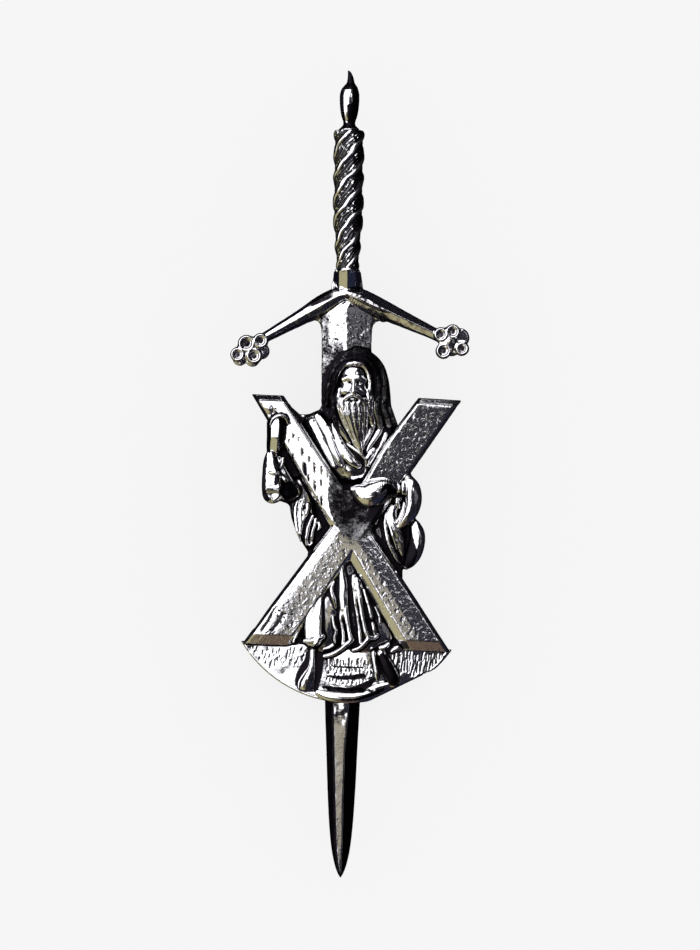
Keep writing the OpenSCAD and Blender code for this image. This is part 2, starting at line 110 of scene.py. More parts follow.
def along(path, X, Y):
    """For each place: the distance to a path, the side, and the path's other values there."""
    best = None
    for a, b in zip(path[:-1], path[1:]):
        v = b[:2] - a[:2]
        t = np.clip(((X - a[0]) * v[0] + (Y - a[1]) * v[1]) / max(float(v @ v), 1e-9), 0, 1)
        ox, oy = X - (a[0] + t * v[0]), Y - (a[1] + t * v[1])
        far = np.sqrt(ox * ox + oy * oy)
        rest = [a[i] + t * (b[i] - a[i]) for i in range(2, len(a))]
        found = [far - (rest[0] if rest else 0), far, np.sign(v[0] * oy - v[1] * ox)] + rest
        if best is None:
            best = found
        else:
            near = found[0] < best[0]
            best = [np.where(near, new, old) for new, old in zip(found, best)]
    return best[1], best[2], best[3:]


def polygon_distance(points, X, Y):
    """Distance to a polygon's outline, negative inside."""
    points = np.array(points, float)
    best = np.full(np.broadcast(X, Y).shape, 1e9)
    inside = np.zeros(best.shape, bool)
    for a, b in zip(points, np.roll(points, -1, 0)):
        v = b - a
        t = np.clip(((X - a[0]) * v[0] + (Y - a[1]) * v[1]) / (v @ v), 0, 1)
        best = np.minimum(best, (X - a[0] - t * v[0]) ** 2 + (Y - a[1] - t * v[1]) ** 2)
        if a[1] != b[1]:
            crosses = (a[1] > Y) != (b[1] > Y)
            at = (b[0] - a[0]) * (Y - a[1]) / (b[1] - a[1]) + a[0]
            inside ^= crosses & (X < at)
    return np.where(inside, -1, 1) * np.sqrt(best)


def blur(image, sigma):
    """A Gaussian blur. Sigma is in cells: one for both axes, or two."""
    for axis, s in enumerate(np.broadcast_to(sigma, 2)):
        half = int(math.ceil(3 * s))
        kernel = np.exp(-0.5 * (np.arange(-half, half + 1) / s) ** 2)
        kernel /= kernel.sum()
        padded = np.pad(image, [(half, half) if i == axis else (0, 0) for i in (0, 1)], mode="edge")
        size = image.shape[axis]
        image = sum(w * np.take(padded, np.arange(i, i + size), axis) for i, w in enumerate(kernel))
    return image


def grain(shape, sigma):
    """Smooth noise from about -1 to 1."""
    noise = blur(rng.standard_normal(shape), sigma)
    return noise / (2 * noise.std())


class Clay:
    """A solid on a grid of distances, negative inside, with a flat back at height 0."""

    def __init__(self, low, high, cell, blank=1.2):
        self.cell = cell * 1
        self.axes = [np.arange(l, h + self.cell, self.cell) for l, h in zip(low, high)]
        self.low = np.array(low, float)
        self.d = np.full([len(a) for a in self.axes], blank, np.float32)
        self.X = self.axes[0][:, None]
        self.Y = self.axes[1][None, :]

    def window(self, low, high):
        cut = tuple(
            slice(max(0, int(np.searchsorted(a, l)) - 1), min(len(a), int(np.searchsorted(a, h)) + 1))
            for a, l, h in zip(self.axes, low, high))
        return cut, self.axes[0][cut[0]][:, None], self.axes[1][cut[1]][None, :], self.axes[2][cut[2]]

    def join(self, cut, d, soft):
        self.d[cut] = soft_min(self.d[cut], d.astype(np.float32), soft)

    def carve(self, cut, d, soft):
        self.d[cut] = soft_max(self.d[cut], -d.astype(np.float32), soft)

    def round_path(self, path, soft):
        """The part of the grid round a path, whose rows end with a height."""
        r = path[:, 2].max() + soft + 0.35
        return self.window([path[:, 0].min() - r, path[:, 1].min() - r, -9],
                           [path[:, 0].max() + r, path[:, 1].max() + r, path[:, -1].max() + soft + 0.3])

    def stroke(self, rows, soft=0.1, flat=1.0):
        """A rounded ridge that reaches down to the back. Each row: x, y, radius, height of its top."""
        path = curve(rows, 5) if len(rows) > 2 else np.array(rows, float)
        cut, X, Y, Z = self.round_path(path, soft)
        far, side, (radius, height) = along(path, X, Y)
        middle = (height - radius * flat)[:, :, None]
        up = np.maximum(Z - middle, 0) / flat
        self.join(cut, np.sqrt(far[:, :, None] ** 2 + up ** 2) - radius[:, :, None], soft)

    def roof(self, rows, soft, power, edge=0.12):
        """A bar with a ridge. Each row: x, y, half width, height at the sides, height at the ridge."""
        path = curve(rows)
        cut, X, Y, Z = self.round_path(path, soft)
        far, side, (half, low, high) = along(path, X, Y)
        share = np.clip(far / half, 0, 1.2)
        face = low + (high - low) * (1 - share ** power)
        slope = 1 / np.sqrt(1 + ((high - low) / half) ** 2)
        d = soft_max((far - half)[:, :, None], (Z - face[:, :, None]) * slope[:, :, None], edge)
        self.join(cut, d, soft)

    def bar(self, rows, ridge, soft, power, edge, draft=0.0):
        """A roof whose ridge is shifted, from -1 at the right of the path's direction to 1 at its left.
        Its walls lean in by the draft."""
        path = curve(rows)
        cut, X, Y, Z = self.round_path(path, soft)
        far, side, (half, low, high) = along(path, X, Y)
        place = side * far / half - ridge
        share = np.clip(np.where(place > 0, place / (1 - ridge), -place / (1 + ridge)), 0, 1.2)
        face = low + (high - low) * (1 - share ** power)
        wall = (far - half)[:, :, None] + draft * Z
        d = soft_max(wall, (Z - face[:, :, None]) * 0.8, edge)
        self.join(cut, d, soft)

    def ball(self, centre, radii, soft, cut_away=False):
        """An ellipsoid, joined or cut away."""
        centre, radii = np.array(centre, float), np.array(radii, float)
        r = radii[:2].max() + soft + 0.3
        cut, X, Y, Z = self.window(
            [centre[0] - r, centre[1] - r, centre[2] - radii[2] - soft - 0.3],
            [centre[0] + r, centre[1] + r, centre[2] + radii[2] + soft + 0.3])
        x, y, z = X - centre[0], Y - centre[1], Z - centre[2]
        near = np.sqrt((x / radii[0]) ** 2 + (y / radii[1]) ** 2)[:, :, None] ** 2 + (z / radii[2]) ** 2
        steep = ((x / radii[0] ** 2) ** 2 + (y / radii[1] ** 2) ** 2)[:, :, None] + (z / radii[2] ** 2) ** 2
        k0, k1 = np.sqrt(near), np.sqrt(np.maximum(steep, 1e-9))
        d = k0 * (k0 - 1) / k1
        (self.carve if cut_away else self.join)(cut, d, soft)

    def slab(self, outline, height, soft=0.1, edge=0.15):
        """Straight walls round an outline's distances, up to a height, with a rounded edge."""
        height = np.broadcast_to(height, outline.shape)
        d = soft_max(outline[:, :, None], self.axes[2][None, None, :] - height[:, :, None], edge)
        self.join((slice(None),) * 3, d, soft)

    def press(self, depth):
        """Lowers the whole surface by a depth at each place, or raises it where that is negative."""
        self.d += depth[:, :, None].astype(np.float32)

    def finish(self, smooth):
        """Smooths the distances a little, cuts the back flat and closes the solid at the grid's sides."""
        w = smooth * 0.25
        for axis in range(3):
            a = np.moveaxis(self.d, axis, 0)
            a[1:-1] = a[1:-1] * (1 - 2 * w) + w * (a[:-2] + a[2:])
        self.d = np.maximum(self.d, -self.axes[2][None, None, :]).astype(np.float32)
        for axis in range(3):
            a = np.moveaxis(self.d, axis, 0)
            a[0] = np.maximum(a[0], 0.05)
            a[-1] = np.maximum(a[-1], 0.05)

    def skin(self):
        """The surface as corners and four-sided faces."""
        d = self.d
        n = d.shape
        inside = d < 0
        corners = list(product((0, 1), repeat=3))
        total = sum(inside[i:n[0] - 1 + i, j:n[1] - 1 + j, k:n[2] - 1 + k].astype(np.uint8)
                    for i, j, k in corners)
        active = (total > 0) & (total < 8)
        I, J, K = np.nonzero(active)
        index = np.full(active.shape, -1, np.int32)
        index[I, J, K] = np.arange(len(I))
        value = [d[I + i, J + j, K + k] for i, j, k in corners]
        place = np.zeros((len(I), 3))
        count = np.zeros(len(I))
        for a in range(8):
            for bit, axis in ((4, 0), (2, 1), (1, 2)):
                if a & bit:
                    continue
                b = a | bit
                hit = (value[a] < 0) != (value[b] < 0)
                t = np.where(hit, value[a] / np.where(hit, value[a] - value[b], 1), 0)
                for m in range(3):
                    place[:, m] += np.where(hit, corners[a][m] + (t if m == axis else 0), 0)
                count += hit
        place /= count[:, None]
        points = self.low + self.cell * (np.stack([I, J, K], 1) + place)
        quads = []
        for axis in range(3):
            low = np.moveaxis(inside, axis, 0)[:-1]
            high = np.moveaxis(inside, axis, 0)[1:]
            change = np.moveaxis(low != high, 0, axis)
            core = [slice(1, -1)] * 3
            core[axis] = slice(None)
            at = [v + (0 if m == axis else 1) for m, v in enumerate(np.nonzero(change[tuple(core)]))]
            b, c = (axis + 1) % 3, (axis + 2) % 3

            def cell(db, dc):
                where = list(at)
                where[b] = where[b] - db
                where[c] = where[c] - dc
                return index[where[0], where[1], where[2]]
            quad = np.stack([cell(1, 1), cell(0, 1), cell(0, 0), cell(1, 0)], 1)
            outward = inside[at[0], at[1], at[2]]
            quads.append(np.where(outward[:, None], quad, quad[:, ::-1]))
        return points, np.concatenate(quads).tolist()


# Meshes ----------------------------------------------------------------------------------------

made = []


def sword_place(points, lean=False):
    """From the relief's millimetres to the row's frame in metres."""
    p = np.array(points, float)
    if lean:
        x = p[:, 0] * math.cos(LEAN) + p[:, 1] * math.sin(LEAN) + FIG_X
        y = -p[:, 0] * math.sin(LEAN) + p[:, 1] * math.cos(LEAN) + FIG_Y
        p = np.stack([x, y, p[:, 2]], 1)
    return (p + [AXIS_X, 0, BACK]) * 0.001


def build(name, points, faces, keep=1.0):
    """A mesh object from corners and faces, thinned to a share of its faces."""
    mesh = bpy.data.meshes.new(name)
    mesh.from_pydata(points.tolist(), [], faces)
    mesh.polygons.foreach_set("use_smooth", np.ones(len(mesh.polygons), bool))
    mesh.update()
    piece = bpy.data.objects.new(name, mesh)
    bpy.context.scene.collection.objects.link(piece)
    if keep < 1:
        thin = piece.modifiers.new("thin", "DECIMATE")
        thin.ratio = keep
        full = piece.evaluated_get(bpy.context.evaluated_depsgraph_get())
        less = bpy.data.meshes.new_from_object(full)
        piece.modifiers.clear()
        piece.data = less
        bpy.data.meshes.remove(mesh)
        less.name = name
        less.polygons.foreach_set("use_smooth", np.ones(len(less.polygons), bool))
    made.append((piece, points))
    return piece


def cast(clay, name, keep, lean=True, smooth=0.6):
    """A clay's surface as a mesh object."""
    clay.finish(smooth)
    points, faces = clay.skin()
    return build(name, sword_place(points, lean), faces, keep)


def corners_of(piece):
    out = np.empty(len(piece.data.vertices) * 3)
    piece.data.vertices.foreach_get("co", out)
    return out.reshape(-1, 3)


def sword_places(piece):
    """Corners in the sword's millimetres, across and up."""
    mm = corners_of(piece) * 1000 - [AXIS_X, 0, 0]
    return mm, mm[:, 0], mm[:, 1]


def figure_places(piece):
    """Corners in the figure's own millimetres."""
    p = corners_of(piece) * 1000 - [AXIS_X, 0, BACK]
    x, y = p[:, 0] - FIG_X, p[:, 1] - FIG_Y
    return np.stack([x * math.cos(LEAN) - y * math.sin(LEAN), x * math.sin(LEAN) + y * math.cos(LEAN), p[:, 2]], 1)


def on_clay(clay, image, places):
    """An image over a clay's grid, read at places."""
    at = ((places[:, :2] - clay.low[:2]) / clay.cell + 0.5).astype(int)
    at = np.clip(at, 0, np.array(image.shape) - 1)
    return image[at[:, 0], at[:, 1]]


# By a piece's name: how much of its polish each corner lacks, partly as patina in pits and hollows, partly as painted
# shade
patina_and_painted_shade = {}


def attribute(piece, name, values):
    data = piece.data.attributes.new(name, "FLOAT", "POINT")
    data.data.foreach_set("value", np.asarray(values, np.float32))


def lathe_faces(rings, around):
    """Faces between rings of points, and two fans that close the ends at the two points after the rings."""
    i, k = np.meshgrid(np.arange(rings - 1), np.arange(around), indexing="ij")
    a = i * around + k
    b = i * around + (k + 1) % around
    sides = np.stack([a, a + around, b + around, b], -1).reshape(-1, 4)
    k = np.arange(around)
    turned, base, end = (k + 1) % around, (rings - 1) * around, rings * around
    first = np.stack([k, turned, np.full(around, end)], 1)
    last = np.stack([base + turned, base + k, np.full(around, end + 1)], 1)
    return sides.tolist() + first.tolist() + last.tolist()


# The sword's guard and blade -----------------------------------------------------------------------

# Middles of the quatrefoils
LEFT_CENTRE = (-11.99, 15.52)
RIGHT_CENTRE = (12.655, 16.72)
# Sockets of the quatrefoils: across and up from the centre, and the socket's radius
LEFT_FOIL = [(-0.4, 0.6, 0.72), (-1.5, -0.76, 0.56), (0.55, -0.9, 0.64), (1.34, 0.97, 0.6)]
RIGHT_FOIL = [(-1.0, 0.8, 0.56), (0.45, 1.17, 0.58), (-0.66, -1.22, 0.62), (1.63, -0.92, 0.52)]
# The low lobes behind them: across, up and radius
LEFT_LOW = [(1.45, -0.3, 1.0), (-1.25, -1.3, 0.85), (0.35, -1.4, 0.85)]
RIGHT_LOW = [(1.35, 0.45, 1.2), (0.4, -0.9, 0.95)]
# The guard's arms: across, up, half width, height at the sides and at the ridge
LEFT_ARM = [(.25, 22.4, .8, 2.45, 2.85), (-1.4, 21.95, 1.2, 2.25, 2.78), (-3.2, 20.95, 1.28, 1.95, 2.52),
    (-5.5, 19.6, 1.02, 1.72, 2.17), (-9.7, 17.2, .7, 1.38, 1.7), (-11.2, 16.3, .66, 1.3, 1.6)]
RIGHT_ARM = [(-.25, 22.4, .8, 2.3, 2.85), (1.4, 22, 1.2, 1.95, 2.78), (3.3, 21.1, 1.28, 1.6, 2.52),
    (6.3, 19.7, 1.08, 1.4, 2.17), (10.5, 17.8, .78, 1.15, 1.7), (11.8, 17.1, .7, 1.1, 1.6)]


def make_guard():
    clay = Clay([-15.3, 5.6, -0.3], [15.9, 27.0, 4.5], 0.085)
    X, Y = clay.X, clay.Y
    shape = clay.d.shape[:2]
    # The blade's top, with its fillets
    clay.roof([(0, 20.6, 3.1, 0.95, 2.25), (0, 17.6, 3.1, 0.95, 2.05), (0, 6.0, 3.0, 0.95, 2.0)], 0.2, 1.05)
    for side, rows in ((-1, LEFT_ARM), (1, RIGHT_ARM)):
        clay.bar(rows, 0.0 if side < 0 else 0.05, 0.12, 1.1, 0.12, 0.2 if side < 0 else 0.1)
        # A web in the corner between arm and blade
        for t in np.linspace(0, 1, 6):
            x = 3.0 + 1.9 * t ** 1.6
            clay.stroke([(side * (x - 0.4), GUARD_Y - 1.4 - 0.27 * x, 0.5, 0.9),
                         (side * (x - 0.25), GUARD_Y - 4.1 + 2.4 * t ** 0.7 - 0.12 * x, 0.3, 0.75)], 0.25)
    # Collar, a ridge on the hub's right and the rim round the grip's foot
    collar = np.maximum(np.abs(X) - 1.95 + 0.142 * (Y - 23.1), np.abs(Y - 23.95) - 1.2)
    facets = 3.62 - 0.58 * (25.0 - Y) - 0.5 * np.abs(X) - 1.5 * np.maximum(np.abs(X) - 1.02, 0)
    clay.slab(collar, np.maximum(facets, 1.2), 0.1, 0.08)
    clay.bar([(0.5, 22.3, 0.26, 2.85, 2.93), (2.0, 21.72, 0.36, 2.76, 2.88), (3.5, 21.0, 0.33, 2.52, 2.64),
              (5.1, 20.25, 0.16, 2.2, 2.28)], -0.8, 0.06, 1.0, 0.06)
    clay.stroke([(-1.3, 25.22, 0.24, 2.8), (-0.7, 25.28, 0.27, 3.5), (0, 25.3, 0.27, 3.72),
                 (0.7, 25.28, 0.27, 3.5), (1.3, 25.22, 0.24, 2.8)], 0.05)
    sockets = np.zeros(shape)
    for (cx, cy), foil, lows in ((LEFT_CENTRE, LEFT_FOIL, LEFT_LOW), (RIGHT_CENTRE, RIGHT_FOIL, RIGHT_LOW)):
        base = np.full(shape, 9.0)
        for u, v, r in lows:
            base = soft_min(base, np.hypot(X - cx - u, Y - cy - v) - r, 0.3)
        clay.slab(base, 1.25, 0.08, 0.35)
        body, rim = base * 0 + 9.0, base * 0
        for u, v, r in foil:
            far = np.hypot(X - cx - u, Y - cy - v)
            body = soft_min(body, far - r - 0.36, 0.5)
            rim = np.maximum(rim, np.exp(-((far - r - 0.13) / 0.17) ** 2))
        body = soft_min(body, np.hypot(X - cx + 0.1, Y - cy) - 0.95, 0.5)
        rim = np.maximum(rim, np.exp(-(np.hypot(X - cx, Y - cy) / 0.7) ** 4) * 0.7)
        clay.slab(body, 1.68 + 0.2 * rim, 0.05, 0.3)
        for u, v, r in foil:
            clay.ball((cx + u, cy + v, 2.02), (r * 1.06, r * 1.06, 0.52), 0.05, cut_away=True)
            clay.ball((cx + u + 0.06, cy + v - 0.08, 1.42), (r * 0.5, r * 0.5, 0.24), 0.15)
            sockets = np.maximum(sockets, np.exp(-(np.hypot(X - cx - u, Y - cy - v) / (0.85 * r)) ** 6))
    cx, cy = RIGHT_CENTRE
    clay.ball((cx + 0.08, cy - 0.02, 1.75), (0.27, 0.27, 0.28), 0.08)
    blade_part = step(-(Y - 19.8), 0, 1) * step(-np.abs(X), -3.4, -3.0)
    bumps = grain(shape, 2.0) * 0.012 + grain(shape, 7) * 0.018
    bumps = bumps + blade_part * (grain(shape, (1.4, 2.6)) * 0.035 + grain(shape, 1.1) * 0.02)
    clay.press(bumps)
    piece = cast(clay, "sword_guard", 0.5, False)
    mm, x, y = sword_places(piece)
    grainy = step(-y, -20.5, -19.5) * step(-np.abs(x), -3.6, -3.2)
    attribute(piece, "grainy", grainy * 0.75 + 0.06)
    dull_part = grainy * step(-x, 0.1, 0.5) * np.maximum(step(-x, 1.5, 2.4), step(-y, -17.8, -16.2))
    # A dull patch on the left arm by the hub
    along_arm, over_arm = (x + 2.9) * 0.87 + (y - 21.55) * 0.5, (y - 21.55) * 0.87 - (x + 2.9) * 0.5
    patch = np.exp(-((along_arm + 0.3) / 2.3) ** 4) * step(over_arm + 0.12 * along_arm, -0.45, -0.1) * (y < 24)
    patch = np.maximum(patch, step(x, 0.1, 0.4) * step(y, 22.3, 22.6) * step(-y, -23.4, -23.2) * step(-x, -2.2, -1.8))
    patina_and_painted_shade["sword_guard"] = np.maximum(np.maximum(0.6 * dull_part, 0.7 * patch), 0.68 * on_clay(clay, sockets, mm))


# Each row: height along the sword, half width, the band's left and right edge across, and its height
BLADE = [(-26.2, 2.24, -1.32, .92, 1.9), (-30, 2.1, -1.2, .7, 1.78), (-34, 1.93, -1.08, .38, 1.65),
    (-39, 1.73, -.92, .26, 1.49), (-43, 1.5, -.78, .22, 1.37), (-46, 1.2, -.64, .18, 1.28),
    (-48, .82, -.45, .14, 1.2), (-49.2, .42, -.22, .1, 1.12), (-49.88, .05, 0, .02, 1)]


def make_blade():
    clay = Clay([-3.0, -50.15, -0.3], [3.0, -24.5, 2.6], 0.1)
    X, Y = clay.X, clay.Y
    rows = curve(BLADE, 6)[::-1]
    half, left, right, high = (np.interp(Y, rows[:, 0], rows[:, i]) for i in range(1, 5))
    left = left + 0.04 * np.sin(Y * 1.7) + 0.03 * np.sin(Y * 3.9)
    height = high - 1.15 * np.maximum(left - X, 0) ** 1.05 - 0.8 * np.maximum(X - right, 0) ** 1.05
    height = soft_max(height, np.full(height.shape, 0.45), 0.2) - 0.8 * step(Y, -28.1, -27.5)
    clay.slab((np.abs(X) - half) * 0.98 + np.maximum(Y + 26.2, 0) + np.maximum(-49.9 - Y, 0), height, 0.02, 0.15)
    shape = clay.d.shape[:2]
    lumps = step(Y, -31.5, -29.5) * np.exp(-((X + 0.2) / 1.1) ** 4)
    clay.press(grain(shape, (1.6, 4)) * 0.004 + grain(shape, 1.3) * 0.002 + grain(shape, (5, 14)) * 0.012
               + lumps * (grain(shape, 2.2) * 0.055))
    piece = cast(clay, "sword_blade", 0.5, False)
    mm, x, y = sword_places(piece)
    off_left = np.interp(y, rows[:, 0], rows[:, 2]) - x
    off_right = x - np.interp(y, rows[:, 0], rows[:, 3])
    patina_and_painted_shade["sword_blade"] = np.maximum(0.85 * step(off_left, -0.45, -0.05), 0.85 * step(off_right, -0.15, 0.1))
    attribute(piece, "grainy", 0.1 + 0.2 * step(y, -31, -29))


def make_grip():
    around, rings = ((200, 340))
    up = np.linspace(0, GRIP_L, rings)[:, None]
    angle = np.linspace(0, 2 * math.pi, around, endpoint=False)[None, :]
    full = (GRIP_LOW_D + (GRIP_D - GRIP_LOW_D) * np.minimum(1, up / (GRIP_L * 0.4))) / 2
    # How far a place is from the nearest strand's top: 0 there, 1 in the middle of a valley
    wander = 0.05 * np.sin(up * 1.3) + 0.04 * np.sin(up * 2.9 + 1)
    share = np.abs((angle * 4 / (2 * math.pi) + wander + 0.5) % 1 - 0.5) * 2
    strand = np.sqrt(np.clip(1 - (share / 0.4) ** 2, 0, 1))
    thin = np.exp(-((share - 0.62) / 0.09) ** 2)
    wire = np.exp(-((1 - share) / 0.13) ** 2)
    r = full * (0.83 + 0.165 * strand) + (wire * 0.1 + thin * 0.1) * full / 1.95
    rough = grain((rings, around), 2.5) * 0.004 + grain((rings, around), 6) * 0.012
    r = r + rough * (1 - 0.75 * strand)
    ends = np.minimum(np.minimum(up / 0.4, (GRIP_L - up) / 0.5), 1)
    r = r * (0.86 + 0.14 * np.sqrt(np.clip(ends, 0, 1)))
    turn = angle + 2 * math.pi * up / STRAND_TURN
    points = np.stack([r * np.sin(turn), COLLAR_TOP + up + 0 * r, GRIP_D / 2 + r * np.cos(turn)], -1).reshape(-1, 3)
    points = np.vstack([points, [0, COLLAR_TOP, GRIP_D / 2], [0, COLLAR_TOP + GRIP_L, GRIP_D / 2]])
    piece = build("twisted_grip", sword_place(points), lathe_faces(rings, around))
    # Strand tops are polished by wear; painted shade darkens the grip's right side.
    strand_wear_and_shade = 0.33 + 0.67 * step(strand, 0.45, 0.9) + (wire + thin) * 0.04
    strand_wear_and_shade = strand_wear_and_shade * (1 - 0.6 * step(r * np.sin(turn), 0.45, 0.95))
    attribute(piece, "wear_and_painted_light", np.concatenate([np.clip(strand_wear_and_shade, 0, 1).ravel(), [0.5, 0.5]]))
    attribute(piece, "grainy", np.concatenate([-0.65 * (1 - step(strand, 0.1, 0.5)).ravel(), [0.1, 0.1]]))


# Each row: height along the sword from the grip's top, radius, and how far its middle lies to the right
POMMEL = [(-.6, 1.15, 0), (-.25, 1.28, 0), (.1, 1.26, 0), (.35, 1.02, 0), (.6, .8, 0), (.85, .74, 0),
    (1.15, .79, 0), (1.6, .94, 0), (2.2, 1.08, 0), (3, 1.18, 0), (3.8, 1.22, 0), (4.4, 1.2, 0), (4.8, 1.12, .01),
    (5.1, 1.02, .03), (5.35, .88, .07), (5.6, .68, .1), (5.85, .5, .12), (6.2, .42, .12), (6.6, .34, .08),
    (7, .25, 0), (7.22, .17, -.08), (7.36, .1, -.16)]


def make_pommel():
    around = 96
    rows = curve(POMMEL, 6)
    angle = np.linspace(0, 2 * math.pi, around, endpoint=False)
    grip_top = COLLAR_TOP + GRIP_L
    ring = [np.stack([x + r * np.sin(angle), np.full(around, grip_top + y), GRIP_D / 2 + r * np.cos(angle)], 1)
            for y, r, x in rows]
    points = np.vstack(ring + [[[0, grip_top + POMMEL[0][0], GRIP_D / 2]], [[-0.2, SWORD_L / 2, GRIP_D / 2]]])
    piece = build("pommel", sword_place(points), lathe_faces(len(rows), around))
    # Painted highlight and shade: bright at the upper left, dark below and on the spike
    y, a = rows[:, 0][:, None], (angle[None, :] + math.pi) % (2 * math.pi) - math.pi
    upper = step(y, 2.1, 2.6) * (1 - step(y, 4.6, 5.1))
    edge = -0.42 + 0.57 * step(y, 3.0, 3.4)
    lower = step(y, 0.8, 1.1) * (1 - step(y, 2.4, 3.0)) * np.exp(-((a + 0.42) / 0.16) ** 4)
    shine = 0.22 + 0.78 * np.maximum(upper * (1 - step(a - edge, 0, 0.22)), lower) + 0.35 * step(-y, -0.3, 0)
    attribute(piece, "wear_and_painted_light", np.concatenate([np.clip(shine, 0, 1).ravel(), [0.3, 0.3]]))


# The figure. Each row, in whole numbers: across and up from the ground's lowest point (thousandths of the
# figure's height), radius (ten-thousandths of it), and height of the top (hundredths of the relief). In the
# tables of dark patches, painted shade (on the ground partly darker hollows), the last number is how dark the place
# is, in hundredths.
CHEST = [
    [(-112, 782, 310, 42), (-85, 725, 340, 50), (-45, 672, 300, 55)],
    [(-60, 760, 400, 52), (-40, 710, 350, 58), (-10, 660, 260, 58)],
    [(80, 766, 300, 46), (55, 711, 300, 50), (22, 668, 260, 52)],
    [(30, 767, 400, 52), (20, 716, 340, 56), (5, 660, 220, 52)],
    [(-30, 648, 200, 50), (0, 645, 200, 52), (25, 650, 160, 50)],
    [(-150, 600, 300, 42), (-138, 520, 320, 44), (-118, 450, 140, 40)]]
BANDS = [
    [(-122, 787, 109, 45), (-104, 758, 128, 50), (-86, 727, 128, 54), (-68, 697, 133, 57), (-53, 669, 109, 58)],
    [(-108, 803, 89, 48), (-89, 778, 121, 56), (-71, 750, 123, 61), (-59, 719, 128, 64), (-45, 692, 119, 65),
     (-33, 670, 83, 63)],
    [(-62, 783, 65, 54), (-53, 755, 97, 59), (-40, 727, 113, 64), (-23, 702, 134, 67), (-6, 683, 134, 68),
     (12, 670, 89, 66)],
    [(-28, 735, 43, 58), (-12, 723, 49, 61), (4, 713, 51, 63), (19, 702, 45, 64), (31, 688, 40, 63)],
    [(52, 812, 83, 52), (47, 786, 95, 58), (38, 762, 89, 63), (29, 738, 69, 66), (20, 716, 49, 64)],
    [(76, 797, 89, 50), (67, 769, 83, 56), (54, 745, 69, 60), (43, 727, 55, 62), (36, 713, 40, 61)],
    [(86, 762, 55, 54), (80, 742, 65, 57), (72, 724, 47, 58)],
    [(54, 715, 79, 58), (45, 703, 89, 61), (37, 688, 75, 61), (35, 673, 49, 58)],
    [(69, 722, 41, 56), (62, 704, 45, 58), (53, 687, 45, 58), (43, 670, 40, 56)]]
CUFF = [(-237, 690, 113, 70), (-238, 668, 166, 74), (-234, 645, 219, 77), (-229, 621, 272, 79),
    (-226, 596, 296, 79), (-225, 582, 287, 76)]
LEFT_SLEEVE = [
    [(-208, 580, 148, 70), (-186, 578, 178, 68), (-165, 586, 148, 62)],
    [(-206, 622, 188, 72), (-183, 601, 217, 70), (-165, 590, 168, 64)],
    [(-214, 681, 89, 62), (-199, 646, 128, 66), (-182, 617, 148, 66)]]
LEFT_CREASES = [
    [(-199, 629, 34, 86), (-192, 622, 43, 88), (-184, 613, 34, 84)],
    [(-235, 640, 33, 87), (-224, 638, 33, 88), (-212, 635, 33, 84)],
    [(-200, 682, 40, 70), (-201, 666, 45, 72), (-207, 654, 33, 70)],
    [(-219, 659, 33, 76), (-215, 651, 33, 77), (-219, 644, 33, 75)]]
# Painted shade: patches on the outer sides of the sleeves, inside the left sleeve, on the right foot and along the
# hem, darkened to stand for shade.
ROBE_PAINTED_SHADE = [
    [(-248, 690, 43, 90), (-251, 668, 73, 95), (-253, 644, 85, 95), (-253, 620, 91, 95), (-253, 598, 95, 95),
     (-250, 581, 95, 95), (-239, 565, 79, 90)],
    [(103, 133, 135, 80), (120, 103, 174, 80), (134, 72, 193, 80)],
    [(-220, 685, 59, 80), (-219, 665, 79, 80), (-215, 649, 59, 80)],
    [(-214, 630, 65, 100), (-214, 619, 75, 100), (-217, 608, 49, 100)],
    [(-196, 585, 109, 90), (-189, 599, 158, 90), (-173, 604, 128, 90), (-165, 586, 128, 90), (-180, 576, 158, 90)],
    [(166, 515, 69, 90), (164, 500, 59, 90), (167, 478, 79, 90), (170, 454, 109, 90), (173, 429, 168, 90),
     (164, 401, 148, 90)],
    [(-122, 164, 62, 40), (-97, 169, 62, 45), (-73, 177, 62, 40)],
    [(-65, 134, 93, 35), (-30, 145, 93, 35), (-2, 165, 83, 35)],
    [(17, 154, 83, 40), (39, 167, 83, 40), (63, 186, 72, 40)]]
ROLL = [
    [(156, 638, 128, 66), (167, 616, 203, 70), (171, 591, 232, 71), (171, 567, 222, 70), (164, 543, 198, 68),
     (151, 521, 148, 64), (136, 504, 69, 60)],
    [(173, 522, 89, 50), (182, 502, 168, 53), (187, 481, 212, 55), (186, 455, 227, 55), (180, 429, 212, 53),
     (170, 407, 168, 50), (159, 391, 89, 46)]]
RIGHT_SLEEVE = [
    [(88, 609, 198, 70), (117, 600, 188, 62), (133, 581, 148, 56)],
    [(141, 627, 59, 70), (141, 611, 65, 72), (142, 597, 47, 70)],
    [(146, 572, 36, 62), (142, 550, 40, 64), (135, 530, 40, 64), (128, 514, 34, 60)],
    [(125, 593, 43, 56), (125, 575, 65, 60), (131, 557, 45, 58)]]
LEFT_DRAPE = [
    [(-155, 559, 70, 46), (-158, 544, 64, 46), (-158, 528, 64, 46), (-156, 512, 64, 46), (-153, 494, 64, 46),
     (-150, 479, 53, 46), (-146, 466, 41, 45), (-141, 452, 33, 43)],
    [(-141, 559, 70, 48), (-144, 544, 64, 50), (-144, 529, 64, 50), (-142, 514, 70, 50), (-141, 500, 53, 50),
     (-141, 486, 39, 49), (-141, 472, 33, 47)],
    [(-126, 553, 64, 51), (-125, 538, 53, 52), (-129, 525, 47, 52), (-135, 512, 41, 51), (-137, 501, 35, 50)],
    [(-110, 522, 47, 51), (-117, 506, 44, 53), (-121, 491, 47, 54), (-123, 475, 49, 54), (-125, 461, 44, 53),
     (-124, 442, 41, 50)],
    [(-101, 513, 56, 52), (-103, 498, 49, 54), (-108, 480, 42, 54), (-110, 465, 43, 53), (-111, 454, 33, 50)],
    [(-92, 504, 44, 52), (-89, 494, 41, 53), (-93, 485, 33, 52)],
    [(-131, 523, 33, 56), (-136, 531, 33, 54), (-133, 539, 33, 54)]]
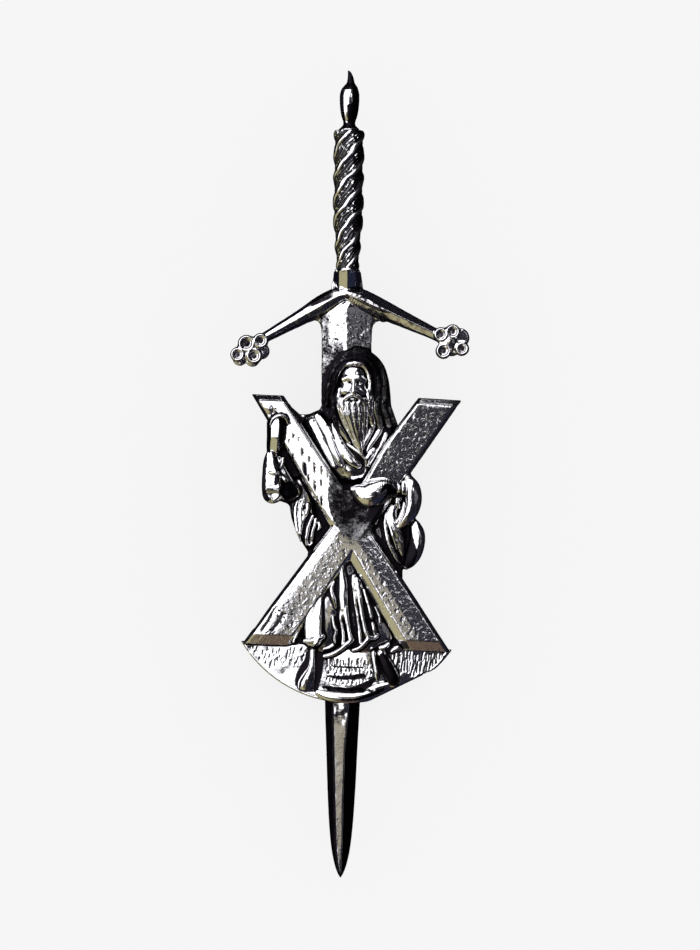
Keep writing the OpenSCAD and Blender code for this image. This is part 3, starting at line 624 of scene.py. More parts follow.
RIGHT_DRAPE = [
    [(114, 555, 128, 54), (112, 533, 183, 58), (116, 513, 188, 60), (124, 494, 148, 60), (134, 479, 119, 58),
     (141, 457, 109, 56), (144, 437, 83, 53), (147, 424, 49, 50)],
    [(96, 538, 43, 56), (94, 516, 47, 58), (97, 493, 51, 60), (103, 469, 51, 61), (111, 448, 53, 60),
     (122, 429, 53, 58), (133, 410, 45, 55), (142, 400, 33, 50)],
    [(107, 505, 36, 60), (113, 490, 38, 62), (119, 474, 40, 62), (125, 458, 38, 60), (131, 441, 34, 56)],
    [(72, 523, 40, 50), (69, 507, 40, 50)],
    [(53, 536, 43, 56), (49, 518, 40, 56)]]
PANEL = [(-74, 309, 33, 52), (-84, 284, 114, 53), (-93, 254, 222, 54), (-95, 223, 253, 55), (-93, 180, 243, 56)]
SKIRT = [
    [(-12, 420, 200, 46), (-42, 300, 500, 48), (-66, 200, 620, 46)],
    [(-12, 420, 200, 46), (15, 290, 500, 50), (50, 200, 620, 48)],
    [(-5, 400, 200, 46), (50, 270, 400, 46), (90, 195, 400, 44)]]
FOLD = [(-22, 377, 52, 57), (-19, 355, 103, 60), (-16, 330, 119, 63), (-14, 299, 126, 65), (-10, 270, 116, 64),
    (-5, 246, 83, 65), (2, 221, 62, 65), (7, 197, 58, 66)]
PLEATS = [
    [(-130, 218, 33, 50), (-140, 190, 41, 52), (-149, 167, 41, 52)],
    [(-43, 341, 35, 58), (-49, 318, 45, 60), (-41, 294, 62, 61), (-34, 269, 45, 57)],
    [(-42, 242, 33, 56), (-37, 217, 33, 58), (-30, 201, 35, 58), (-35, 184, 33, 55), (-32, 170, 33, 54)],
    [(-22, 377, 45, 60), (-19, 355, 95, 63), (-16, 330, 108, 66), (-14, 299, 116, 68), (-12, 268, 103, 67)],
    [(-17, 260, 56, 64), (-19, 237, 41, 63), (-14, 216, 41, 62), (-9, 188, 45, 62), (-11, 167, 41, 62)],
    [(-6, 268, 64, 68), (-2, 242, 62, 69), (3, 217, 54, 69), (8, 194, 54, 70), (12, 180, 62, 71)],
    [(13, 357, 68, 62), (15, 337, 79, 64), (18, 311, 56, 62), (21, 280, 43, 61), (27, 249, 39, 61),
     (32, 222, 41, 60), (36, 198, 56, 60), (38, 173, 48, 62)],
    [(22, 350, 54, 64), (27, 321, 62, 67), (33, 293, 62, 69), (39, 260, 56, 69), (46, 229, 52, 69),
     (52, 207, 56, 69), (59, 192, 66, 69)],
    [(30, 346, 33, 58), (38, 326, 33, 60)],
    [(43, 320, 35, 60), (52, 294, 45, 63), (61, 269, 50, 64), (67, 245, 50, 63)],
    [(70, 230, 33, 59), (75, 214, 48, 61), (79, 200, 45, 60)],
    [(76, 274, 33, 50), (88, 250, 33, 51), (92, 229, 33, 50)]]
HEM = [
    [(-118, 172, 52, 62), (-98, 173, 68, 68), (-81, 180, 95, 71), (-68, 186, 72, 69)],
    [(-61, 130, 52, 54), (-36, 138, 62, 58), (-16, 152, 58, 64), (-1, 166, 62, 68), (15, 179, 62, 70)],
    [(19, 151, 41, 58), (36, 158, 56, 62), (49, 170, 56, 66), (59, 183, 62, 69), (70, 188, 58, 66)],
    [(77, 186, 45, 60), (87, 196, 52, 58)],
    [(96, 160, 58, 54), (110, 164, 66, 56), (118, 172, 52, 54)],
    [(129, 152, 62, 54), (141, 161, 72, 56), (151, 158, 52, 54)]]
FEET = [
    [(-94, 144, 66, 54), (-94, 121, 69, 57), (-96, 94, 100, 60), (-103, 70, 185, 60), (-109, 47, 232, 56),
     (-101, 32, 174, 50)],
    [(77, 147, 50, 52), (82, 117, 54, 53), (88, 90, 54, 53), (90, 71, 42, 50)],
    [(99, 144, 135, 50), (116, 110, 174, 54), (132, 80, 193, 54), (137, 61, 135, 50)]]
LIP = [(-75, 27, 77, 42), (-47, 19, 139, 45), (-8, 16, 162, 47), (30, 18, 162, 47), (65, 30, 154, 46),
    (95, 48, 124, 44), (129, 59, 77, 42)]
# Dark patches on the ground: painted shade beside the left foot and on the right side; the other rows make it darker
# along the lip and between the rows of grass.
GROUND_SHADE_AND_HOLLOWS = [
    [(-106, 136, 66, 100), (-109, 113, 97, 100), (-121, 89, 116, 100), (-132, 65, 85, 100), (-135, 48, 58, 100)],
    [(-72, 153, 116, 100), (-71, 114, 100, 100), (-74, 75, 93, 100), (-80, 40, 69, 100)],
    [(-59, 43, 50, 90), (-24, 38, 69, 90), (14, 37, 85, 90), (45, 45, 116, 90), (67, 58, 97, 90), (80, 70, 58, 90)],
    [(-31, 101, 33, 80), (8, 101, 39, 80), (50, 102, 33, 80)],
    [(-49, 74, 39, 80), (-3, 71, 77, 75), (51, 79, 85, 80)],
    [(-8, 9, 33, 80), (35, 13, 50, 80), (73, 27, 66, 80), (107, 42, 66, 80)],
    [(107, 129, 116, 90), (122, 95, 135, 90), (137, 69, 154, 90)]]
LEFT_HAND = [
    [(-222, 776, 277, 80), (-220, 748, 282, 80), (-226, 716, 222, 68), (-232, 690, 153, 58)],
    [(-216, 780, 198, 86), (-216, 756, 207, 90), (-218, 730, 188, 86), (-223, 704, 128, 70), (-230, 684, 79, 58)],
    [(-239, 771, 36, 88), (-232, 790, 40, 93), (-215, 800, 43, 95), (-197, 795, 43, 93), (-188, 779, 40, 88)]]
KNUCKLES = [(-222, 786, 109, 86), (-224, 772, 138, 87), (-224, 754, 143, 87), (-225, 732, 133, 84),
    (-226, 708, 128, 72), (-228, 686, 109, 60)]
# Painted shade: the left fist's right side, a spot by its top knuckle and its left rim darkened.
LEFT_HAND_PAINTED_SHADE = [
    [(-200, 773, 109, 85), (-198, 749, 148, 85), (-197, 725, 148, 85), (-201, 705, 109, 85), (-212, 685, 69, 85)],
    [(-213, 781, 33, 80), (-208, 782, 33, 80), (-205, 783, 33, 80)],
    [(-244, 779, 43, 80), (-245, 759, 83, 95), (-246, 735, 95, 95), (-247, 711, 79, 95), (-247, 688, 59, 95)]]
RIGHT_HAND = [
    [(116, 609, 207, 76), (89, 606, 287, 84), (61, 593, 336, 84)],
    [(108, 611, 247, 84), (85, 608, 326, 93), (63, 597, 395, 98), (44, 589, 361, 97), (26, 595, 247, 90),
     (10, 602, 128, 82), (-2, 604, 59, 76)]]
# Painted shade: the right fist's right side and a notch at its top right darkened.
RIGHT_HAND_PAINTED_SHADE = [
    [(94, 619, 49, 80), (100, 614, 89, 90), (106, 606, 128, 90), (109, 590, 168, 90), (94, 570, 148, 90),
     (81, 555, 109, 90)],
    [(66, 589, 40, 40), (75, 595, 59, 60), (85, 607, 69, 75), (92, 617, 59, 80)]]
PLATE = [(-.19, .84), (-.182, .828), (-.158, .808), (-.127, .809), (-.103, .825), (-.07, .9), (.07, .9), (.1, .84),
    (.121, .786), (.15, .69), (.175, .62), (.17, .54), (.172, .52), (.2, .465), (.18, .405), (.15, .38), (.16, .14),
    (-.16, .14), (-.12, .42), (-.153, .48), (-.16, .545), (-.225, .57), (-.225, .69)]


def shares(rows):
    return [(u / 1000, v / 1000, r / 10000, t / 100) for u, v, r, t in rows]


def rows_mm(rows):
    return [(u * FIG_H, v * FIG_H, r * FIG_H, t * RELIEF) for u, v, r, t in shares(rows)]


def strokes(clay, groups):
    for group, soft, flat in groups:
        for rows in group:
            clay.stroke(rows_mm(rows), soft, flat)


def scored(clay, lines, depth, width):
    """Fine grooves along lines of (across, up) shares. Returns depths for Clay.press."""
    out = np.zeros(clay.d.shape[:2])
    for line in lines:
        path = curve([(u * FIG_H, v * FIG_H) for u, v in line], 5)
        r = width * 3
        cut, X, Y, Z = clay.window([path[:, 0].min() - r, path[:, 1].min() - r, 0],
                                   [path[:, 0].max() + r, path[:, 1].max() + r, 0.1])
        far, side, rest = along(path, X, Y)
        out[cut[:2]] = np.maximum(out[cut[:2]], depth * np.exp(-(far / width) ** 2))
    return out


def dark_patches(clay, groups):
    """How dark each place of a clay's grid is, from a table of dark patches: painted shade, and on the ground also
    darker bands along the lip and between the rows of grass.
    """
    out = np.zeros(clay.d.shape[:2])
    for rows in groups:
        path = curve([(u * FIG_H, v * FIG_H, r * FIG_H, t) for u, v, r, t in shares(rows)], 5)
        far, side, (half, dark) = along(path, clay.X, clay.Y)
        out = np.maximum(out, dark * step(half - far, -0.12, 0.12))
    return out


def make_robe():
    clay = Clay([-12.0, 1.4, -0.3], [10.0, 37.6, 5.4], 0.095)
    X, Y = clay.X, clay.Y
    clay.slab(polygon_distance(np.array(PLATE) * FIG_H, X, Y) + 0.02, PLATE_T, 0.05, 0.2)
    strokes(clay, ((CHEST, 0.5, 0.6), (SKIRT, 0.3, 0.4)))
    # Rolls and broad folds with a ridge near one side
    for rows, ridge, rise, power in ((ROLL[0], -0.3, 0.5, 2.0), (ROLL[1], 0.2, 0.45, 1.8), (PANEL, 0.72, 0.75, 1.3),
                                     (FOLD, 0.35, 0.2, 1.3), (CUFF, 0.7, 0.45, 1.2)):
        bar = [(x, y, half, low, low + rise * min(1, half / 0.7)) for x, y, half, low in rows_mm(rows)]
        clay.bar(bar, ridge, 0.1, power, 0.25)
    strokes(clay, ((LEFT_DRAPE, 0.06, 0.6), (RIGHT_DRAPE, 0.06, 0.8), (BANDS, 0.04, 0.42), (PLEATS, 0.06, 0.8),
                   (HEM, 0.08, 0.9), (FEET, 0.15, 1), (LEFT_SLEEVE, 0.3, 1), (LEFT_CREASES, 0.12, 1),
                   (RIGHT_SLEEVE, 0.12, 1)))
    # Fine lines along the folds
    lines = []
    for rows in BANDS[:6] + PLEATS[3:8] + RIGHT_DRAPE[:2] + LEFT_DRAPE + [PANEL]:
        table = np.array(shares(rows))
        p, half = table[:, :2], table[:, 2:3]
        across = normals(p)
        for s in (-0.35, 0.4):
            lines.append((p + across * half * s * (1 + 0.3 * rng.standard_normal(half.shape))).tolist())
    depth = scored(clay, lines, 0.06, 0.075)
    depth += grain(clay.d.shape[:2], 1.4) * 0.012 + grain(clay.d.shape[:2], 5) * 0.02
    clay.press(depth)
    piece = cast(clay, "robe", 0.49)
    # Painted shade from the table darkens patches of the robe.
    patina_and_painted_shade["robe"] = on_clay(clay, dark_patches(clay, ROBE_PAINTED_SHADE), figure_places(piece))


def make_hands():
    for name, group, dark, low, high in (
            ("left_hand", LEFT_HAND, LEFT_HAND_PAINTED_SHADE, (-11.9, 30.0, 2.2), (-7.0, 36.0, 5.4)),
            ("right_hand", RIGHT_HAND, RIGHT_HAND_PAINTED_SHADE, (-0.8, 23.6, 2.2), (5.9, 29.2, 5.4))):
        clay = Clay(low, high, 0.06)
        strokes(clay, ((group[:1], 0.2, 1), (group[1:], 0.22, 1)))
        if name == "left_hand":
            clay.bar([(x, y, half, z, z + 0.36) for x, y, half, z in rows_mm(KNUCKLES)], 0.75, 0.1, 1.2, 0.25)
        # Faint lines between the fingers
        lines = [[(0.076, 0.604), (0.05, 0.605), (0.02, 0.598)], [(0.08, 0.588), (0.06, 0.588), (0.035, 0.583)]]
        clay.press(scored(clay, lines, 0.025, 0.09) + grain(clay.d.shape[:2], 3) * 0.01)
        clay.d = np.maximum(clay.d, HAND_BASE - clay.axes[2][None, None, :]).astype(np.float32)
        piece = cast(clay, name, 0.7)
        # Painted shade from the table darkens each fist's right side.
        patina_and_painted_shade[name] = on_clay(clay, dark_patches(clay, dark), figure_places(piece))
        attribute(piece, "grainy", np.zeros(len(piece.data.vertices)))


# The head, in millimetres from the middle of the face: x, y, radius, height of the top. The face is a plain,
# calm one on the usual proportions: eyes at half the head's height, nose and mouth by thirds.
FACE_AT = (-0.44, 38.85)
HAIR = [
    [(.2, 3.1, .4, 4.85), (1.2, 2.9, .4, 4.75), (1.95, 1.8, .42, 4.55), (2.15, .4, .42, 4.35),
     (2.3, -.9, .42, 4.25), (2, -2.2, .42, 4.05), (2.3, -3.4, .42, 3.8), (2.6, -4.4, .33, 3.5)],
    [(.1, 3.7, .42, 4.8), (1.5, 3.5, .45, 4.65), (2.55, 2.3, .48, 4.35), (2.9, .6, .48, 4.15), (2.9, -.9, .48, 4),
     (2.8, -2.3, .48, 3.8), (3.2, -3.6, .45, 3.45), (3.5, -4.6, .36, 3.1)],
    [(0, 4.2, .42, 4.65), (1.5, 4.1, .48, 4.4), (2.9, 3, .5, 4), (3.6, 1.2, .5, 3.8), (3.65, -.5, .5, 3.6),
     (3.6, -2, .5, 3.4), (4.1, -3.3, .48, 3.1), (4.5, -4.3, .38, 2.8)],
    [(.1, 4.65, .38, 4.3), (1.6, 4.35, .42, 4.1), (3.1, 3.1, .42, 3.6), (3.85, 1.3, .42, 3.3),
     (4.15, -.6, .45, 3.1), (4.35, -2.1, .45, 2.9), (4.9, -3.4, .42, 2.7), (5.3, -4.2, .33, 2.5)],
    [(-.2, 3.1, .4, 4.85), (-1.2, 2.8, .4, 4.7), (-1.95, 1.6, .42, 4.45), (-2.15, .2, .42, 4.15),
     (-2.3, -1.2, .4, 3.85), (-2.3, -2.4, .33, 3.4)],
    [(-.3, 3.7, .42, 4.8), (-1.4, 3.3, .45, 4.55), (-2.35, 2, .46, 4.15), (-2.7, .3, .45, 3.8),
     (-2.8, -1.1, .42, 3.45), (-3, -2.2, .34, 3.05)],
    [(-.4, 4.3, .42, 4.5), (-1.2, 3.8, .42, 4.3), (-2, 2.6, .42, 3.8), (-2.55, .8, .4, 3.4), (-2.95, -.6, .38, 3),
     (-3.25, -1.8, .32, 2.7)]]
BEARD = [
    [(-2, -.6, .3, 3.9), (-2.3, -2, .45, 3.9), (-2.1, -3.4, .5, 3.75), (-1.3, -5, .45, 3.5), (-.2, -6.6, .3, 3.2)],
    [(-1.75, -.2, .3, 4.35), (-1.7, -1.5, .42, 4.4), (-1.35, -3, .45, 4.2), (-.6, -4.6, .4, 3.9),
     (.3, -6.4, .28, 3.5)],
    [(-1.3, -1.5, .4, 4.6), (-1, -2.9, .44, 4.5), (-.45, -4.5, .42, 4.2), (.35, -6.3, .34, 3.8),
     (.9, -7.4, .2, 3.5)],
    [(-.6, -1.9, .42, 4.75), (-.4, -3.2, .44, 4.65), (.1, -4.7, .42, 4.35), (.75, -6.4, .34, 3.95),
     (1.15, -7.7, .2, 3.6)],
    [(.1, -1.9, .42, 4.8), (.25, -3.2, .44, 4.65), (.55, -4.8, .4, 4.35), (1, -6.5, .32, 3.95),
     (1.3, -7.8, .18, 3.6)],
    [(.75, -1.8, .42, 4.7), (.95, -3.1, .44, 4.5), (1.05, -4.6, .4, 4.2), (1.25, -6.2, .3, 3.8),
     (1.45, -7.3, .18, 3.5)],
    [(1.35, -1.4, .4, 4.5), (1.6, -2.7, .42, 4.3), (1.6, -4.1, .38, 4), (1.6, -5.6, .28, 3.6)],
    [(1.8, -.2, .3, 4.3), (2, -1.4, .38, 4.25), (2.15, -2.6, .38, 4), (2.05, -3.8, .28, 3.6)]]


def make_head():
    cx, cy = FACE_AT
    clay = Clay([cx - 4.4, cy - 8.4, -0.3], [cx + 6.2, cy + 5.7, 5.5], 0.065)

    def at(rows):
        return [(x + cx, y + cy, r, z) for x, y, r, z in rows]

    # Hair's mass behind the face, neck and shoulders
    clay.ball((cx + 0.65, cy + 0.7, 0.9), (3.45, 4.15, 3.0), 0.3)
    clay.stroke(at([(2.4, -0.5, 1.5, 2.9), (3.3, -3.1, 1.2, 2.4)]), 0.4, 0.8)
    clay.stroke(at([(-1.6, -0.5, 1.3, 2.7), (-2.0, -1.8, 1.0, 2.4)]), 0.4, 0.8)
    clay.stroke(at([(-0.1, -2.2, 1.7, 3.5), (0.4, -4.6, 1.3, 3.4), (1.0, -6.8, 0.5, 3.0)]), 0.4, 0.8)
    # Skull and jaw
    clay.ball((cx, cy + 0.5, 2.45), (2.1, 3.3, 2.25), 0.25)
    clay.ball((cx, cy + 1.9, 3.0), (1.7, 1.5, 1.55), 0.4)
    clay.ball((cx, cy - 1.2, 2.75), (1.45, 1.5, 1.75), 0.4)
    # Brow, eye hollows, eyes and lids
    clay.stroke(at([(-1.35, 1.08, .2, 4.36), (-0.75, 1.28, .22, 4.66), (-0.2, 1.2, .2, 4.74), (0.2, 1.2, .2, 4.74),
                    (0.75, 1.28, .22, 4.66), (1.35, 1.08, .2, 4.36)]), 0.35)
    for s in (-1, 1):
        clay.ball((cx + s * 0.8, cy + 0.75, 4.78), (0.56, 0.36, 0.42), 0.14, cut_away=True)
        clay.ball((cx + s * 1.0, cy - 0.3, 3.75), (0.72, 0.62, 0.75), 0.35)
        clay.ball((cx + s * 0.79, cy + 0.72, 4.02), (0.4, 0.25, 0.42), 0.05)
        lid = [(0.42, 0.74, .07, 4.42), (0.62, 0.92, .085, 4.5), (0.9, 0.93, .085, 4.47), (1.2, 0.72, .06, 4.3)]
        clay.stroke(at([(s * x, *rest) for x, *rest in lid]), 0.04)
        low = [(s * 0.45, 0.68, .05, 4.36), (s * 0.75, 0.51, .07, 4.42), (s * 1.15, 0.66, .05, 4.28)]
        clay.stroke(at(low), 0.04)
    # Nose
    clay.stroke(at([(0, 1.15, .2, 4.78), (0, 0.4, .22, 4.95), (0, -0.1, .27, 5.06), (0, -0.38, .31, 5.1)]), 0.16)
    for s in (-1, 1):
        clay.ball((cx + s * 0.3, cy - 0.4, 4.68), (0.2, 0.19, 0.24), 0.08)
    # Mouth
    clay.ball((cx, cy - 1.3, 4.5), (0.4, 0.13, 0.24), 0.06)
    for rows in BEARD:
        clay.stroke(at(rows), 0.06)
    for s in (-1, 1):
        clay.stroke(at([(s * 0.1, -0.78, .2, 4.92), (s * 0.55, -0.95, .26, 4.88), (s * 1.05, -1.35, .24, 4.65),
                        (s * 1.4, -2.0, .14, 4.4)]), 0.06)
    for rows in HAIR[:4]:
        clay.stroke(at(rows), 0.1)
    for rows in HAIR[4:]:
        clay.stroke(at([(x - 0.25 * min(1, abs(x) / 1.5), y, r * 0.85, z) for x, y, r, z in rows]), 0.1)
    # Strands in the hair and beard
    lines = []
    for rows in HAIR + BEARD:
        p = curve(rows, 4)
        across = normals(p[:, :2])
        wave = np.sin(np.arange(len(p)) * 1.1 + rng.uniform(0, 6))[:, None] * 0.12
        for s in (-0.5, 0.05, 0.55):
            q = p[:, :2] + across * p[:, 2:3] * (s + wave) + [cx, cy]
            lines.append((q / FIG_H).tolist())
    depth = scored(clay, lines, 0.075, 0.055)
    face = step(np.hypot((clay.X - cx) / 1.75, (clay.Y - cy - 0.55) / 2.2), 0.95, 1.1)
    depth = depth * np.maximum(face, step(-(clay.Y - cy), 1.3, 1.6)) + grain(clay.d.shape[:2], 2) * 0.008
    clay.press(depth)
    piece = cast(clay, "head", 0.55)
    p = figure_places(piece)
    x, y = p[:, 0] - cx, p[:, 1] - cy
    mane = step(np.hypot(x / 1.95, (y - 0.4) / 2.75), 0.97, 1.1)
    mane = mane * (1 - step(-y, 0.6, 1.4) * step(-np.abs(x - 0.1 + y * 0.16), -2.6, -2.0))
    patina_and_painted_shade["head"] = (0.7 - 0.1 * step(x, 2.6, 3.6)) * mane
    attribute(piece, "grainy", 0.1 + 0.2 * mane)


def beam_places(side):
    """The corners of a beam: its top end's left and right, its low end's right and left."""
    low, high = GROUND_H, GROUND_H + CROSS_H
    left, right = -CROSS_TOP_W / 2, -CROSS_TOP_W / 2 + BEAM_TOP_W
    if side > 0:
        return np.array([(left, high), (right - 0.45, high), (CROSS_LOW_W / 2, low),
                         (CROSS_LOW_W / 2 - BEAM_LOW_W, low)])
    return np.array([(-right - 0.15, high + 0.4), (-left, high + 0.3), (-CROSS_LOW_W / 2 + BEAM_LOW_W, low),
                     (-CROSS_LOW_W / 2, low)])


def inside_of(a, b, X, Y):
    """Distance to the right of the line from a to b."""
    v = (b - a) / np.linalg.norm(b - a)
    return (X - a[0]) * v[1] - (Y - a[1]) * v[0]


def bevel(distance, width, drop, power=1.0):
    return drop * (1 - np.clip(distance / width, 0, 1)) ** power


# Marks in the upper left beam: across and up in millimetres, half length and half width
MARKS = [(-7.57, 32.83, .34, .11), (-7.54, 30.2, .51, .17), (-6.39, 30.93, .51, .14), (-6.01, 28.74, .93, .31),
    (-5.52, 27.66, .51, .17), (-4.81, 29.04, .76, .11), (-4.67, 26.84, .76, .13), (-3.92, 28.74, .59, .11),
    (-3.91, 27.21, .51, .11), (-3.81, 24.93, .68, .18), (-3.14, 28.26, .42, .1), (-5.32, 31.74, .25, .1),
    (-8.05, 32.13, .25, .1), (-6.87, 32.43, .25, .09), (-8.17, 30.94, .25, .1), (-9.89, 35.62, .51, .13),
    (-10.38, 35.09, .34, .11), (-5.5, 30.03, .34, .1), (-4.36, 25.16, .42, .1), (-9.34, 34.62, .34, .1)]
# A dent near that beam's end: across and up
DENT = (-11.07, 35.69)
# Painted shade: patches on the lower left beam, on the crossing and to the right of it.
CROSS_PAINTED_SHADE = [
    [(-143, 287, 136, 40), (-167, 252, 273, 50), (-198, 210, 273, 45), (-220, 178, 171, 30)],
    [(-52, 642, 171, 60), (-40, 612, 307, 66), (-18, 565, 512, 67), (1, 518, 477, 67), (23, 485, 307, 54)],
    [(71, 562, 205, 80), (60, 528, 205, 75), (47, 493, 171, 60)]]


def make_cross():
    clay = Clay([-13.3, 6.4, -0.3], [13.4, 38.3, 4.1], 0.105)
    X, Y = clay.X, clay.Y
    shape = clay.d.shape[:2]
    # The two beams. For each place: distances inside its four edges, and the share across it
    fields = []
    for side in (1, -1):
        tl, tr, lr, ll = beam_places(side)
        top, right, low, left = (inside_of(a, b, X, Y) for a, b in ((tl, tr), (tr, lr), (lr, ll), (ll, tl)))
        if side < 0:
            left = left + 0.7 * step(Y, 26, 33)
        fields.append((top, right, low, left, (left - right) / np.maximum(left + right, 0.5)))
    middle = GROUND_H + CROSS_H * 0.5
    upper = step(Y - middle, -1.2, 1.2)
    high_up = step(Y - middle, 2.0, 6.0)
    drop = 0.046 * np.maximum(middle - 1.5 - Y, 0)
    # The beam from the upper left to the lower right
    top, right, low, left, across = fields[0]
    upper_left = step(-X, 2.0, 2.6) * upper
    first = CROSS_T - 0.2 + 0.2 * upper_left * across - 0.3 * (1 - upper) * np.maximum(across - 0.05, 0) - drop
    notch = polygon_distance(np.array([(-0.26, 24.9), (-1.1, 26.4), (0.55, 26.4)]), X, Y)
    near_notch = 1.2 * np.exp(-((X + 0.26) ** 2 + (Y - 25.8) ** 2) / 1.3)
    first = first - bevel(left, 0.42 + 0.6 * (1 - upper), 0.6) - bevel(right + near_notch, 0.4, 0.5)
    first = first - bevel(top, 0.85, 0.95, 0.8) - bevel(low, 1.25, 0.95, 0.9)
    first_in = np.minimum(np.minimum(top, right), np.minimum(low, left))
    # The beam from the upper right to the lower left
    top, right, low, left, across = fields[1]
    rise = CROSS_T - 0.2 - 0.22 * high_up * across - drop + 0.3 * (1 - upper) * np.minimum(across + 0.4, 0)
    rise = rise - bevel(left + near_notch, 0.42, 0.5) - bevel(right, 0.5, 0.6)
    rise = rise - bevel(top, 0.85, 0.95, 0.8) - bevel(low, 1.25, 0.95, 0.9)
    second_in = np.minimum(np.minimum(top, right), np.minimum(low, left))
    outline = np.minimum(-np.maximum(first_in, second_in), notch)
    height = np.where(first_in > 0, first, 0)
    height = np.where(second_in > 0, np.maximum(height, rise), height)
    height = np.where(notch < 0, np.maximum(height, CROSS_T - 0.2), height)
    # The crossing tilts away from the light
    u, v = X + 0.5, Y - middle - 1.7
    height = height - np.exp(-(u / 2.6) ** 4 - (v / 3.1) ** 4) * 0.075 * (0.94 * u - 0.34 * v)
    # A dent near the upper left end
    u, v = X - DENT[0], Y - DENT[1]
    height = height + np.exp(-((u ** 2 + v ** 2) / 0.36) ** 2) * 0.33 * (u + v)
    height = np.maximum(height, 1.2)
    clay.slab(outline, height, 0.02, 0.12)
    # Dark marks, fine stipple, and grooves near the lower left end
    stain = np.zeros(shape)
    for x, y, long, wide in MARKS:
        s, q = Y - y, X - x + (Y - y) * 0.12
        bend = 0.72 * wide * (1 - 0.35 * np.clip(s / long, -1, 1))
        stain = np.maximum(stain, np.exp(-(q / bend) ** 2 - (s / long) ** 4))
    lower_left = step(second_in, 0, 0.4) * (1 - upper) * step(-X, 0.5, 2.5)
    lower_right = step(first_in, 0, 0.4) * (1 - upper) * step(X, 0.5, 2.5)
    fine, soft = grain(shape, 0.9), grain(shape, 2.4)
    depth = stain * 0.05 + grain(shape, 8) * 0.012
    flecks = np.maximum(grain(shape, 1.0) - 0.7, 0) + 0.8 * np.maximum(grain(shape, (0.9, 2.0)) - 0.7, 0)
    depth += (fine * 0.003 + soft * 0.004) * (0.4 + 1.4 * lower_left)
    upper_right = step(Y - middle, 3, 8) * step(X, 2, 3)
    depth += np.maximum(grain(shape, 0.9) - 0.35, 0) * 0.035 * upper_right
    depth += flecks * (1 - upper_left) * (0.01 + 0.05 * step(Y - middle, 3.5, 8) + 0.022 * step(middle - Y, 1.2, 3.0)
                                          + 0.006 * lower_left + 0.03 * lower_right)
    score = [[(-0.262, 0.205), (-0.243, 0.24), (-0.23, 0.27)], [(-0.236, 0.195), (-0.216, 0.228), (-0.205, 0.258)],
             [(-0.208, 0.195), (-0.192, 0.217), (-0.18, 0.243)]]
    grooves = scored(clay, score, 0.15, 0.2)
    clay.press(depth + grooves)
    piece = cast(clay, "diagonal_cross", 0.45, smooth=0.4)
    places = figure_places(piece)
    # Dark pits and grooves hold patina; the table adds painted shade on the lower left beam and round the crossing.
    dark = np.maximum(stain * 1.4 + grooves * 2.2, dark_patches(clay, CROSS_PAINTED_SHADE))
    patina_and_painted_shade["diagonal_cross"] = on_clay(clay, np.clip(dark, 0, 1), places)
    sparse = step(Y - middle, 4.5, 9) + step(middle - Y, 1.2, 3.0)
    rest = 0.05 + 0.1 * sparse + 0.45 * lower_left + 0.2 * lower_right
    grainy = 0.1 + 0.35 * upper_right + (1 - upper_left) * rest
    attribute(piece, "grainy", on_clay(clay, grainy, places))


